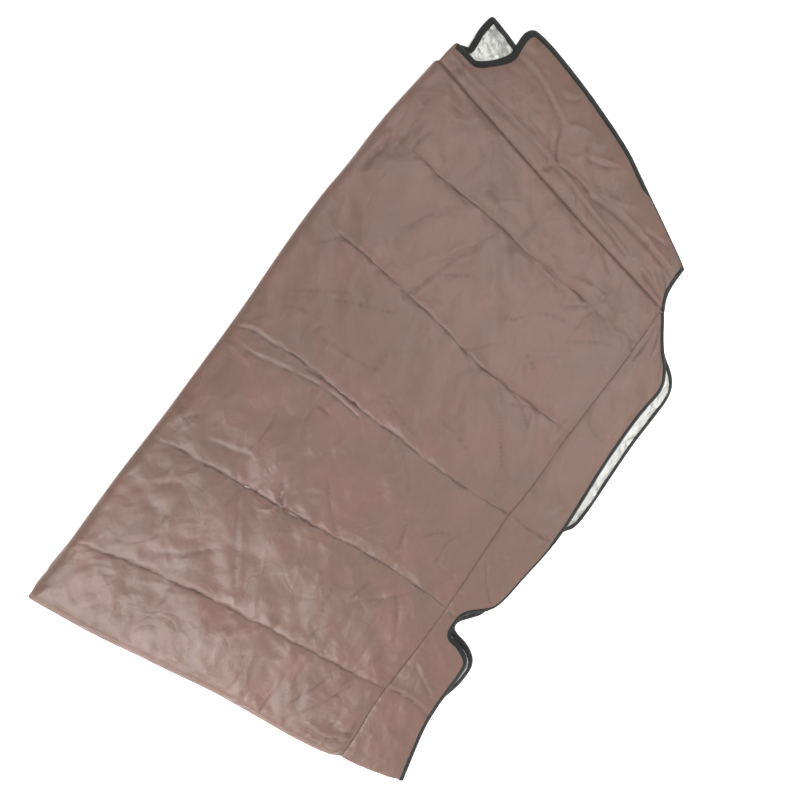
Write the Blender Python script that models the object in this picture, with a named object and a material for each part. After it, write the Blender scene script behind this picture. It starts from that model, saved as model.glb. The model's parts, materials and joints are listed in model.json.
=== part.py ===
"""Infrared sauna blanket: a heated bottom layer and a heated top layer that opens about one long fold."""
import math

import bmesh
import bpy
from mathutils import Matrix, Vector

# ---- driving dimensions, metres ----
overall_length = 1.80        # foot edge to the crown of the head flap
overall_width = 1.12         # fold to the widest point of the bound side
side_seam = 0.89             # fold to the seam of the side flap
head_seam = 1.53             # foot edge to the seam of the neck band
neck_band_depth = 0.095      # head seam to the line where the head flap turns back
interior_gap = 0.0070        # space between the two silver linings when the blanket lies empty

shell_thickness = 0.0012     # outer cloth
insulation_thickness = 0.0060
mat_thickness = 0.0010       # carrier fleece of the heating wire
wire_diameter = 0.0030       # heating wire, leads, sensor and cut-off share one layer
lining_thickness = 0.0010    # silver coated lining
binding_width = 0.012        # black tape around the free edges
clearance = 0.0003           # gap between neighbouring pieces

# side flap and bottom border, measured from the side seam
foot_tip_reach = 0.213       # flap edge at the foot corner
lower_flap_reach = 0.165     # flap edge below the notch
upper_flap_reach = 0.160     # flap edge above the notch
elbow_reach = 0.175          # flap corner at the top of the arm opening
notch_reach = 0.065          # bottom of the notch
shoulder_inset = 0.020       # flap edge just above the notch, back from the upper reach
foot_margin = 0.028          # bottom border left showing beside the lower flap
waist_margin = 0.018
upper_margin = 0.010
notch_margin = 0.010
foot_tip_margin = -0.005

# stations along the length, measured from the lowest point of the foot edge
foot_rise = 0.050            # the foot edge runs up to this at the fold
foot_level_start = 0.76      # fold to where the foot edge becomes level
waist_start = 0.20
notch_start = 0.435
notch_width = 0.065
notch_slope = 0.030          # length over which the flap edge runs out of the notch
notch_offset = 0.012         # the lower layer's notch is this much narrower at each end
arm_start = 0.86
arm_length = 0.50
neck_drop = 0.060            # head seam to the corner where the flap narrows to the neck

# head end, measured from the fold and from the turn-back line
vee_width = 0.125            # from the fold to the foot of the head flap's slanted end
crown_start = 0.135
crown_width = 0.12           # level stretch at the top of the crown
crown_fall = 0.055           # drop from the crown to the middle of the sloping edge
slope_start = 0.55
head_tip_inset = 0.025       # from the side seam back to the tip of the head flap
head_tip_depth = 0.035
head_tip_offset = 0.010      # the lower layer's tip, back from the head flap's tip
bottom_crown_start = 0.060
bottom_crown_depth = 0.100
bottom_vee_lean = 0.010

corner_radius = 0.060
side_corner_radius = 0.030
corner_steps = 4
corner_share = 0.45          # most of an edge that one rounded corner may take
steepest_mitre = 0.3
weld_distance = 0.000001

# heating
wire_passes = 8
turn_steps = 6
heater_margin = 0.070        # edge to the outer wire pass
heater_foot_margin = 0.095
mat_margin = 0.025
mat_foot_margin = 0.012
cutoff_length = 0.020
sensor_station = 0.90        # foot edge to the temperature sensor, about chest height
sensor_length = 0.012
sensor_width = 0.008

# controller socket in the foot end of the fold
socket_depth = 0.022
socket_width = 0.026
socket_offset = 0.020        # foot edge to the socket
mouth_depth = 0.015
mouth_width = 0.018
mouth_wall = 0.0022
contact_count = 3
contact_pitch = 0.005
contact_diameter = 0.0016
contact_length = 0.006
contact_base = 0.0015
lead_pitch = 0.0085
lead_bend = 0.012

# hook-and-loop strips
strip_width = 0.025
strip_inset = 0.012          # edge of the flap to the strip
foot_strip_width = 0.020
foot_strip_inset = 0.006
foot_strip_margin = 0.045
neck_strip_length = 0.045
neck_strip_inset = 0.010     # side seam to the strip
neck_strip_drop = 0.075      # head seam to the strip
lower_strip_start = 0.050
lower_strip_drop = 0.060     # notch to the strip
middle_strip_rise = 0.050    # notch to the strip
middle_strip_length = 0.28

# ---- levels and lines worked out from the sizes above ----
fold_radius = interior_gap / 2 - clearance
fold_x = -overall_width / 2 + fold_radius
foot_y = -overall_length / 2
turn_line = head_seam + neck_band_depth
socket_start = foot_rise + socket_offset
inner_edge = clearance                      # layers start this far from the fold axis
strip_thickness = (interior_gap - 3 * clearance) / 2
layer_height = (shell_thickness + insulation_thickness + mat_thickness
                + wire_diameter + lining_thickness + 4 * clearance)
fold_z = layer_height + interior_gap / 2
top_z = 2 * layer_height + interior_gap
padding_thickness = layer_height - shell_thickness - lining_thickness - 2 * clearance
side_reach = overall_width - fold_radius - binding_width - clearance
crown_line = overall_length - binding_width - clearance

colours = {
    "outer_cloth": ((0.235, 0.160, 0.130, 1), 0.45, 0.0),
    "silver_lining": ((0.62, 0.62, 0.58, 1), 0.30, 0.85),
    "black_tape": ((0.016, 0.017, 0.016, 1), 0.50, 0.0),
    "wadding": ((0.80, 0.78, 0.72, 1), 0.95, 0.0),
    "fleece": ((0.72, 0.72, 0.70, 1), 0.95, 0.0),
    "heating_wire": ((0.45, 0.05, 0.04, 1), 0.45, 0.0),
    "lead": ((0.70, 0.70, 0.68, 1), 0.40, 0.0),
    "hook_tape": ((0.02, 0.02, 0.02, 1), 0.90, 0.0),
    "black_plastic": ((0.03, 0.03, 0.03, 1), 0.40, 0.0),
    "brass": ((0.75, 0.56, 0.25, 1), 0.30, 1.0),
    "white_plastic": ((0.75, 0.75, 0.72, 1), 0.40, 0.0),
}


def clear_scene():
    for item in list(bpy.data.objects):
        bpy.data.objects.remove(item, do_unlink=True)


def make_collection(name):
    collection = bpy.data.collections.new(name)
    bpy.context.scene.collection.children.link(collection)
    return collection


def make_material(name, kind):
    colour, roughness, metallic = colours[kind]
    material = bpy.data.materials.new(name)
    material.use_nodes = True
    shader = material.node_tree.nodes["Principled BSDF"]
    shader.inputs["Base Color"].default_value = colour
    shader.inputs["Roughness"].default_value = roughness
    shader.inputs["Metallic"].default_value = metallic
    material.diffuse_color = colour
    return material


def make_pivot(name, location, parent=None):
    """An empty on a joint axis, given in world metres."""
    pivot = bpy.data.objects.new(name, None)
    blanket.objects.link(pivot)
    if parent is not None:
        pivot.parent = parent
        location = Vector(location) - world_place(parent)
    pivot.location = location
    return pivot


def world_place(item):
    place = item.location.copy()
    while item.parent is not None:
        item = item.parent
        place += item.location
    return place


def add_piece(name, mesh, kind, pivot):
    """Put a mesh whose points are measured from fold, foot and floor under a pivot."""
    piece = bpy.data.objects.new(name, mesh)
    mesh.materials.append(make_material(name + "_material", kind))
    blanket.objects.link(piece)
    piece.parent = pivot
    piece.location = Vector((fold_x, foot_y, 0)) - world_place(pivot)
    return piece


# ---- outline tools ----
def rounded(path, radius):
    """Replace each inner corner of a path by a short curve that starts and ends within the radius."""
    points = [Vector(point) for point in path]
    result = [points[0]]
    for before, corner, after in zip(points, points[1:], points[2:]):
        reach_in = min(radius, (before - corner).length * corner_share)
        reach_out = min(radius, (after - corner).length * corner_share)
        start = corner + (before - corner).normalized() * reach_in
        end = corner + (after - corner).normalized() * reach_out
        for step in range(corner_steps + 1):
            t = step / corner_steps
            result.append(start * (1 - t) ** 2 + corner * 2 * t * (1 - t) + end * t ** 2)
    return result + [points[-1]]


def offset_path(path, distance):
    """Move a path sideways, to the right of its direction, with mitred corners."""
    points = [Vector(point) for point in path]
    normals = []
    for start, end in zip(points, points[1:]):
        along = (end - start).normalized()
        normals.append(Vector((along.y, -along.x)))
    moved = [points[0] + normals[0] * distance]
    for index in range(1, len(points) - 1):
        mean = (normals[index - 1] + normals[index]).normalized()
        stretch = max(steepest_mitre, mean.dot(normals[index]))
        moved.append(points[index] + mean * (distance / stretch))
    moved.append(points[-1] + normals[-1] * distance)
    return moved


def plate_mesh(name, outline, bottom, thickness):
    """Fill a flat outline and give it thickness."""
    curve = bpy.data.curves.new(name, "CURVE")
    curve.dimensions = "2D"
    curve.fill_mode = "BOTH"
    curve.extrude = thickness / 2
    spline = curve.splines.new("POLY")
    spline.points.add(len(outline) - 1)
    for point, place in zip(spline.points, outline):
        point.co = (place[0], place[1], 0, 1)
    spline.use_cyclic_u = True
    holder = bpy.data.objects.new(name + "_outline", curve)
    mesh = bpy.data.meshes.new_from_object(holder)
    bpy.data.objects.remove(holder)
    mesh.name = name
    work = bmesh.new()
    work.from_mesh(mesh)
    bmesh.ops.remove_doubles(work, verts=work.verts, dist=weld_distance)
    bmesh.ops.translate(work, verts=work.verts, vec=(0, 0, bottom + thickness / 2))
    bmesh.ops.recalc_face_normals(work, faces=work.faces)
    work.to_mesh(mesh)
    work.free()
    return mesh


def box_mesh(name, low, high):
    work = bmesh.new()
    bmesh.ops.create_cube(work, size=1)
    size = [b - a for a, b in zip(low, high)]
    middle = [(a + b) / 2 for a, b in zip(low, high)]
    bmesh.ops.scale(work, verts=work.verts, vec=size)
    bmesh.ops.translate(work, verts=work.verts, vec=middle)
    mesh = bpy.data.meshes.new(name)
    work.to_mesh(mesh)
    work.free()
    return mesh


def tube_mesh(name, path, diameter, height):
    """A round wire along a flat path at one height."""
    curve = bpy.data.curves.new(name, "CURVE")
    curve.dimensions = "3D"
    curve.bevel_depth = diameter / 2
    curve.bevel_resolution = 2
    curve.use_fill_caps = True
    spline = curve.splines.new("POLY")
    spline.points.add(len(path) - 1)
    for point, place in zip(spline.points, path):
        point.co = (place[0], place[1], height, 1)
    holder = bpy.data.objects.new(name + "_path", curve)
    mesh = bpy.data.meshes.new_from_object(holder)
    bpy.data.objects.remove(holder)
    mesh.name = name
    work = bmesh.new()
    work.from_mesh(mesh)
    bmesh.ops.remove_doubles(work, verts=work.verts, dist=weld_distance)
    bmesh.ops.recalc_face_normals(work, faces=work.faces)
    work.to_mesh(mesh)
    work.free()
    return mesh


# ---- outlines, measured from the fold and the foot edge ----
def side_flap_edge():
    """The bound edge of the side flap, from the foot corner to the neck."""
    notch_end = notch_start + notch_width
    arm_end = arm_start + arm_length
    return rounded([
        (side_seam + foot_tip_reach, 0),
        (side_seam + lower_flap_reach, waist_start),
        (side_seam + lower_flap_reach, notch_start - notch_slope),
        (side_seam + notch_reach, notch_start),
        (side_seam + notch_reach, notch_end),
        (side_seam + upper_flap_reach - shoulder_inset, notch_end + notch_slope),
        (side_seam + elbow_reach, arm_start),
        (side_seam + upper_flap_reach, arm_start + arm_length / 2),
        (side_seam + elbow_reach, arm_end),
        (side_seam + notch_reach, head_seam - neck_drop),
        (side_seam + 2 * clearance, head_seam - clearance),
    ], side_corner_radius)


def bottom_side_edge():
    """The bound edge of the bottom layer, from the foot corner to the tip of its head end."""
    notch_end = notch_start + notch_width
    arm_end = arm_start + arm_length
    lower = side_seam + lower_flap_reach
    upper = side_seam + upper_flap_reach
    return rounded([
        (side_seam + foot_tip_reach + foot_tip_margin, 0),
        (lower + waist_margin, waist_start),
        (lower + foot_margin, notch_start - notch_slope),
        (side_seam + notch_reach + notch_margin, notch_start + notch_offset),
        (side_seam + notch_reach + notch_margin, notch_end - notch_offset),
        (upper - shoulder_inset, notch_end + notch_slope - notch_offset),
        (upper + upper_margin, arm_start - notch_slope),
        (side_reach, arm_start),
        (side_reach, arm_end),
        (side_seam + notch_reach, head_seam - neck_drop + notch_margin),
        (side_seam - head_tip_inset, turn_line + head_tip_depth - head_tip_offset),
    ], side_corner_radius)


def bottom_head_edge():
    """The bound head edge of the bottom layer, from its tip back to the fold."""
    return rounded([
        (side_seam - head_tip_inset, turn_line + head_tip_depth - head_tip_offset),
        (bottom_crown_start, turn_line + bottom_crown_depth),
        (bottom_crown_start - bottom_vee_lean, turn_line),
        (inner_edge, turn_line),
    ], side_corner_radius)


def head_flap_edge():
    """The bound edge of the head flap, from its tip over the crown to the turn-back line."""
    return rounded([
        (side_seam - head_tip_inset, turn_line + clearance),
        (side_seam - head_tip_inset, turn_line + head_tip_depth),
        (slope_start, crown_line - crown_fall),
        (crown_start + crown_width, crown_line),
        (crown_start, crown_line),
        (vee_width, turn_line + clearance),
    ], corner_radius)


def foot_height(x):
    """How far the foot edge lies above its lowest point."""
    return foot_rise * max(0, 1 - x / foot_level_start)


def foot_corner():
    """The foot edge from the fold to where it becomes level."""
    return [Vector((inner_edge, foot_rise)), Vector((foot_level_start, 0))]


def bottom_outline():
    side = bottom_side_edge()
    head = bottom_head_edge()
    return foot_corner() + side + head[1:]


def side_flap_outline():
    seam = side_seam + 2 * clearance
    return [Vector((seam, 0))] + side_flap_edge()


def edge_strip(edge):
    """A tape of the binding's width just outside an edge."""
    inner = offset_path(edge, clearance)
    outer = offset_path(edge, clearance + binding_width)
    return inner + outer[::-1]


# ---- layers: each is built from its outer cloth inward ----
def layer_levels(outer, direction):
    """Lower faces of cloth, insulation, mat, wire and lining, counted inward from the outer face."""
    levels = {}
    distance = 0
    sizes = (("shell", shell_thickness), ("insulation", insulation_thickness),
             ("mat", mat_thickness), ("wire", wire_diameter), ("lining", lining_thickness))
    for part, size in sizes:
        far = distance + size
        levels[part] = outer + distance if direction > 0 else outer - far
        distance = far + clearance
    return levels


def socket_notch():
    """Corners of the cut-out that the insulation leaves for the socket, from head to foot."""
    low = socket_start - clearance
    high = socket_start + socket_width + clearance
    deep = inner_edge + socket_depth + clearance
    corners = ((inner_edge, high), (deep, high), (deep, low), (inner_edge, low))
    return [Vector(corner) for corner in corners]


def heating_path():
    """Parallel passes along the length, joined by half-round turns."""
    first = heater_margin
    pitch = (side_seam - 2 * heater_margin) / (wire_passes - 1)
    low = foot_rise + heater_foot_margin
    turn_low = low + pitch / 2
    turn_high = head_seam - heater_margin - pitch / 2
    path = [Vector((first, low))]
    for index in range(wire_passes - 1):
        going_up = index % 2 == 0
        centre = Vector((first + pitch * (index + 0.5), turn_high if going_up else turn_low))
        for step in range(turn_steps + 1):
            angle = math.pi * (1 - step / turn_steps)
            rise = math.sin(angle) if going_up else -math.sin(angle)
            path.append(centre + Vector((math.cos(angle), rise)) * (pitch / 2))
    path.append(Vector((first + pitch * (wire_passes - 1), low)))
    return path


def add_heater(side, levels, pivot, lead_start):
    """Fleece mat, heating wire, cut-off, sensor and their leads for one layer."""
    mat_low = (mat_margin, foot_rise + mat_foot_margin, levels["mat"])
    mat_high = (side_seam - mat_margin, head_seam - mat_margin, levels["mat"] + mat_thickness)
    add_piece(side + "_heating_mat", box_mesh("mat", mat_low, mat_high), "fleece", pivot)

    height = levels["wire"] + wire_diameter / 2
    path = heating_path()
    add_piece(side + "_heating_wire", tube_mesh("wire", path, wire_diameter, height),
              "heating_wire", pivot)

    first = path[0]
    last = path[-1]
    half = wire_diameter / 2
    cutoff_top = first.y - clearance
    cutoff_foot = cutoff_top - cutoff_length
    cutoff = box_mesh("cutoff", (first.x - half, cutoff_foot, levels["wire"]),
                      (first.x + half, cutoff_top, levels["wire"] + wire_diameter))
    add_piece(side + "_thermal_cutoff", cutoff, "white_plastic", pivot)

    pitch = (side_seam - 2 * heater_margin) / (wire_passes - 1)
    sensor_x = first.x + pitch / 2
    sensor = box_mesh("sensor", (sensor_x - sensor_width / 2, sensor_station, levels["wire"]),
                      (sensor_x + sensor_width / 2, sensor_station + sensor_length,
                       levels["wire"] + wire_diameter))
    add_piece(side + "_temperature_sensor", sensor, "white_plastic", pivot)

    middle = socket_start + socket_width / 2
    supply = [(lead_start, middle + lead_pitch), (first.x, middle + lead_pitch),
              (first.x, cutoff_foot - clearance)]
    sensing = [(lead_start, middle), (sensor_x, middle), (sensor_x, sensor_station - clearance)]
    back = [(lead_start, middle - lead_pitch), (last.x, middle - lead_pitch),
            (last.x, last.y - clearance)]
    for label, route in (("supply_lead", supply), ("sensor_lead", sensing), ("return_lead", back)):
        mesh = tube_mesh(label, rounded(route, lead_bend), wire_diameter, height)
        add_piece(side + "_" + label, mesh, "lead", pivot)


def add_bottom_layer():
    levels = layer_levels(0, 1)
    outline = bottom_outline()
    shell = plate_mesh("shell", outline, levels["shell"], shell_thickness)
    add_piece("bottom_outer_shell", shell, "outer_cloth", root)

    insulation = plate_mesh("insulation", outline + socket_notch(), levels["insulation"],
                            insulation_thickness)
    add_piece("bottom_insulation", insulation, "wadding", root)

    add_heater("bottom", levels, root, inner_edge + socket_depth + clearance)
    lining = plate_mesh("lining", outline, levels["lining"], lining_thickness)
    add_piece("bottom_lining", lining, "silver_lining", root)

    side_tape = plate_mesh("binding", edge_strip(bottom_side_edge()), 0, layer_height)
    add_piece("bottom_side_binding", side_tape, "black_tape", root)
    head = bottom_head_edge()
    head[0] = head[0] + (head[1] - head[0]).normalized() * clearance
    head_tape = plate_mesh("binding", edge_strip(head), 0, layer_height)
    add_piece("bottom_head_binding", head_tape, "black_tape", root)
    return levels


def add_socket(levels):
    """Housing with one mouth towards the outside of the fold, and the contact block inside it."""
    low = Vector((inner_edge, socket_start, levels["insulation"]))
    high = Vector((inner_edge + socket_depth, socket_start + socket_width,
                   levels["lining"] - clearance))
    housing = add_piece("controller_socket", box_mesh("housing", low, high), "black_plastic", root)
    middle = socket_start + socket_width / 2
    mouth_low = Vector((low.x - clearance, middle - mouth_width / 2, low.z + mouth_wall))
    mouth_high = Vector((low.x + mouth_depth, middle + mouth_width / 2, high.z - mouth_wall))
    cutter = bpy.data.objects.new("mouth_cutter", box_mesh("mouth", mouth_low, mouth_high))
    cutters.objects.link(cutter)
    cutter.parent = root
    cutter.location = housing.location
    cutter.hide_render = True
    cutter.display_type = "WIRE"
    cut = housing.modifiers.new("mouth", "BOOLEAN")
    cut.operation = "DIFFERENCE"
    cut.solver = "EXACT"
    cut.object = cutter

    base_low = Vector((mouth_high.x - contact_base - clearance, mouth_low.y + clearance,
                       mouth_low.z + clearance))
    base_high = Vector((mouth_high.x - clearance, mouth_high.y - clearance,
                        mouth_high.z - clearance))
    contacts = add_piece("contact_block", box_mesh("contacts", base_low, base_high), "brass", root)
    for index in range(contact_count):
        pin = bpy.data.meshes.new("contact_pin")
        work = bmesh.new()
        bmesh.ops.create_cone(work, cap_ends=True, segments=12, radius1=contact_diameter / 2,
                              radius2=contact_diameter / 2, depth=contact_length + contact_base)
        bmesh.ops.rotate(work, verts=work.verts, matrix=turn_to_x)
        work.to_mesh(pin)
        work.free()
        place = bpy.data.objects.new("contact_pin_%d" % (index + 1), pin)
        cutters.objects.link(place)
        place.parent = root
        offset = (index - (contact_count - 1) / 2) * contact_pitch
        centre = Vector((base_high.x - (contact_length + contact_base) / 2 - contact_base / 2,
                         middle + offset, (low.z + high.z) / 2))
        place.location = contacts.location + centre
        place.hide_render = True
        place.display_type = "WIRE"
        join = contacts.modifiers.new("pin", "BOOLEAN")
        join.operation = "UNION"
        join.solver = "EXACT"
        join.object = place


def add_top_layer():
    levels = layer_levels(top_z, -1)
    levels["padding"] = levels["lining"] + lining_thickness + clearance
    edge = side_seam - clearance
    seam = head_seam - clearance

    band_end = turn_line - clearance

    def panel(part, kind, thickness, end, name):
        outline = foot_corner() + [Vector((edge, 0)), Vector((edge, end)), Vector((inner_edge, end))]
        mesh = plate_mesh(part, outline, levels[part], thickness)
        add_piece(name, mesh, kind, top_pivot)

    def band(part, kind, thickness, name):
        mesh = box_mesh(part, (inner_edge, head_seam, levels[part]),
                        (edge, band_end, levels[part] + thickness))
        add_piece(name, mesh, kind, top_pivot)

    panel("shell", "outer_cloth", shell_thickness, seam, "top_outer_shell")
    panel("insulation", "wadding", insulation_thickness, seam, "top_insulation")
    add_heater("top", levels, top_pivot, inner_edge)
    panel("lining", "silver_lining", lining_thickness, band_end, "top_lining")
    band("shell", "outer_cloth", shell_thickness, "neck_band_shell")
    band("padding", "wadding", padding_thickness, "neck_band_padding")
    tape_end = vee_width - binding_width - 3 * clearance
    tape = box_mesh("binding", (inner_edge, turn_line, levels["lining"]),
                    (tape_end, turn_line + binding_width, top_z))
    add_piece("neck_binding", tape, "black_tape", top_pivot)
    return levels


def add_side_flap(levels):
    outline = side_flap_outline()
    for label, part, thickness, kind in (
            ("shell", "shell", shell_thickness, "outer_cloth"),
            ("padding", "padding", padding_thickness, "wadding"),
            ("lining", "lining", lining_thickness, "silver_lining")):
        mesh = plate_mesh(label, outline, levels[part], thickness)
        add_piece("side_flap_" + label, mesh, kind, side_pivot)
    tape = plate_mesh("binding", edge_strip(side_flap_edge()), levels["lining"], layer_height)
    add_piece("side_flap_binding", tape, "black_tape", side_pivot)


def add_head_flap(levels):
    edge = head_flap_edge()
    for label, part, thickness, kind in (
            ("shell", "shell", shell_thickness, "outer_cloth"),
            ("padding", "padding", padding_thickness, "wadding"),
            ("lining", "lining", lining_thickness, "silver_lining")):
        mesh = plate_mesh(label, edge, levels[part], thickness)
        add_piece("head_flap_" + label, mesh, kind, head_pivot)
    tape = plate_mesh("binding", edge_strip(edge), levels["lining"], layer_height)
    add_piece("head_flap_binding", tape, "black_tape", head_pivot)


def add_closures():
    """Loop strips on the bottom lining and hook strips on the lining above them."""
    loop_z = layer_height + clearance
    hook_z = loop_z + strip_thickness + clearance
    lower_x = side_seam + lower_flap_reach - strip_inset - strip_width
    middle_x = side_seam + upper_flap_reach - shoulder_inset - strip_inset - strip_width
    neck_x = side_seam + neck_strip_inset
    neck_y = head_seam - neck_strip_drop - neck_strip_length
    lower_length = notch_start - lower_strip_drop - lower_strip_start
    places = {
        "lower": (lower_x, lower_strip_start, lower_length),
        "middle": (middle_x, notch_start + notch_width + middle_strip_rise, middle_strip_length),
        "neck": (neck_x, neck_y, neck_strip_length),
    }
    for label, (x, y, length) in places.items():
        for kind, z, pivot in (("loop", loop_z, root), ("hook", hook_z, side_pivot)):
            mesh = box_mesh(kind, (x, y, z), (x + strip_width, y + length, z + strip_thickness))
            add_piece("%s_%s_strip" % (label, kind), mesh, "hook_tape", pivot)
    stations = (foot_strip_margin, foot_level_start, side_seam - foot_strip_margin)
    near = [Vector((x, foot_height(x) + foot_strip_inset)) for x in stations]
    far = [point + Vector((0, foot_strip_width)) for point in near]
    for kind, z, pivot in (("loop", loop_z, root), ("hook", hook_z, top_pivot)):
        mesh = plate_mesh(kind, near + far[::-1], z, strip_thickness)
        add_piece("foot_%s_strip" % kind, mesh, "hook_tape", pivot)


def add_fold_strip():
    path = [(0, foot_rise), (0, turn_line)]
    mesh = tube_mesh("fold", path, 2 * fold_radius, fold_z)
    add_piece("fold_strip", mesh, "outer_cloth", root)


turn_to_x = Matrix.Rotation(math.pi / 2, 3, "Y")
clear_scene()
blanket = make_collection("infrared_sauna_blanket")
cutters = make_collection("cutters")
root = make_pivot("bottom_layer", (0, 0, 0))
top_pivot = make_pivot("fold_hinge", (fold_x, 0, fold_z), root)
side_pivot = make_pivot("side_flap_hinge", (fold_x + side_seam, 0, top_z), top_pivot)
head_pivot = make_pivot("head_flap_hinge", (0, foot_y + turn_line, top_z), top_pivot)

bottom_levels = add_bottom_layer()
add_socket(bottom_levels)
add_fold_strip()
top_levels = add_top_layer()
add_side_flap(top_levels)
add_head_flap(top_levels)
add_closures()
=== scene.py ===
import json
import math

import bpy
import numpy as np
from mathutils import Matrix, Vector, noise
from mathutils.bvhtree import BVHTree


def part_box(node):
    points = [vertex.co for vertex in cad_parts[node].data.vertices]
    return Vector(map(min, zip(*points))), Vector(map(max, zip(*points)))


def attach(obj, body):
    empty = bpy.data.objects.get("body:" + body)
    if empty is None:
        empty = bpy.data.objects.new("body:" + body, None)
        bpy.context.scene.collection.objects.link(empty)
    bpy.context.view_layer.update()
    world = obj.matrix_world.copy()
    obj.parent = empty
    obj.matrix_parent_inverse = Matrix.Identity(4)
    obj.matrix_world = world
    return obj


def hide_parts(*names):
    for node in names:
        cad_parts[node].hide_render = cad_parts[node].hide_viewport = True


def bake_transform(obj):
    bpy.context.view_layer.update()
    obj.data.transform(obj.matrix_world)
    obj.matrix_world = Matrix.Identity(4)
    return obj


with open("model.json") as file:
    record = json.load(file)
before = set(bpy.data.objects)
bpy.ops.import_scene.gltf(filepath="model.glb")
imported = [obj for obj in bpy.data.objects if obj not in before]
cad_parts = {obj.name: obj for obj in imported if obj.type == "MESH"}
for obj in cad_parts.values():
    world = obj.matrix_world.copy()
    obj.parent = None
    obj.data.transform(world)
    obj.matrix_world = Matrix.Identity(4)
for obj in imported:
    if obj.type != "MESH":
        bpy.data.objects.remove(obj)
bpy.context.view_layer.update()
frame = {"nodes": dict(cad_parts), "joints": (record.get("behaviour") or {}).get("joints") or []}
joints = {joint["name"]: joint for joint in frame["joints"]}
foldX, foldZ = joints["fold_hinge"]["pos_m"][0], joints["fold_hinge"]["pos_m"][2]
sideHingeX, flapHingeZ = joints["side_flap_hinge"]["pos_m"][0], joints["side_flap_hinge"]["pos_m"][2]
headHingeY = joints["head_flap_hinge"]["pos_m"][1]
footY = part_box("bottom_outer_shell")[0].y
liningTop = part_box("bottom_lining")[1].z        # the silver the body lies on
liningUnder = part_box("top_lining")[0].z         # the silver above the body
seamX = sideHingeX - foldX                      # plan x runs from the fold, plan y from the foot
turnY = headHingeY - footY


# plan and lines

def smooth(value, low, high):
    t = np.clip((np.asarray(value, float) - low) / (high - low), 0, 1)
    return t * t * (3 - 2 * t)


def roundedLine(points, step=0.004, turns=3):
    line = np.array(points, float)
    for _ in range(turns):                      # corner cutting, ends kept
        near = line[:-1] * 0.75 + line[1:] * 0.25
        far = line[:-1] * 0.25 + line[1:] * 0.75
        cut = np.empty((len(near) * 2, line.shape[1]))
        cut[0::2], cut[1::2] = near, far
        line = np.vstack([line[:1], cut, line[-1:]])
    return evenly(line, int(lineLength(line) / step) + 2)


def lineLength(line):
    return float(np.linalg.norm(np.diff(line, axis=0), axis=1).sum())


def alongLine(line):
    return np.concatenate([[0], np.cumsum(np.linalg.norm(np.diff(line, axis=0), axis=1))])


def evenly(line, count):
    line = np.asarray(line, float)
    along = alongLine(line)
    wanted = np.linspace(0, along[-1], count)
    return np.stack([np.interp(wanted, along, line[:, k]) for k in (0, 1)], 1)


def nearLine(points, line):
    # distance, side and place along a line, for each plan point
    flat = points.reshape(-1, 2)
    best = np.full(len(flat), 1e9)
    side = np.zeros(len(flat))
    place = np.zeros(len(flat))
    start = 0.0
    for a, b in zip(line[:-1], line[1:]):
        run = b - a
        length = float(np.hypot(*run))
        if length < 1e-9:
            continue
        t = np.clip(((flat - a) @ run) / length ** 2, 0, 1)
        gap = flat - (a + t[:, None] * run)
        far = np.hypot(gap[:, 0], gap[:, 1])
        closer = far < best
        best[closer] = far[closer]
        turn = run[0] * gap[:, 1] - run[1] * gap[:, 0]
        side[closer] = np.sign(turn[closer])
        place[closer] = start + t[closer] * length
        start += length
    shape = points.shape[:-1]
    return best.reshape(shape), side.reshape(shape), place.reshape(shape)


def ripple(x, y, size, seed, stretch=1.0):
    # soft noise from -1 to 1, with waves about one size apart
    flatX, flatY = np.ravel(x) / size, np.ravel(y) / (size * stretch)
    values = [noise.noise((a, b, seed * 7.31)) for a, b in zip(flatX, flatY)]
    return np.array(values).reshape(np.shape(x)) * 1.6


def spaced(line, shares):
    line = np.asarray(line, float)
    along = alongLine(line)
    return np.stack([np.interp(shares * along[-1], along, line[:, k]) for k in (0, 1)], 1)


def patch(left, right, foot, head, columns, rows, shares=None, crowding=1.0):
    # a grid of plan points between four edges that share their corners
    shares = np.linspace(0, 1, rows) if shares is None else shares
    left, right = spaced(left, shares), spaced(right, shares)
    across = np.linspace(0, 1, columns) ** crowding
    foot, head = spaced(foot, across), spaced(head, across)
    u = across[None, :, None]
    v = shares[:, None, None]
    ruled = left[:, None] * (1 - u) + right[:, None] * u
    along = foot[None] * (1 - v) + head[None] * v
    corners = ((left[0] * (1 - u) + right[0] * u) * (1 - v)
               + (left[-1] * (1 - u) + right[-1] * u) * v)
    return ruled + along - corners


# edges of the sheets

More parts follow.
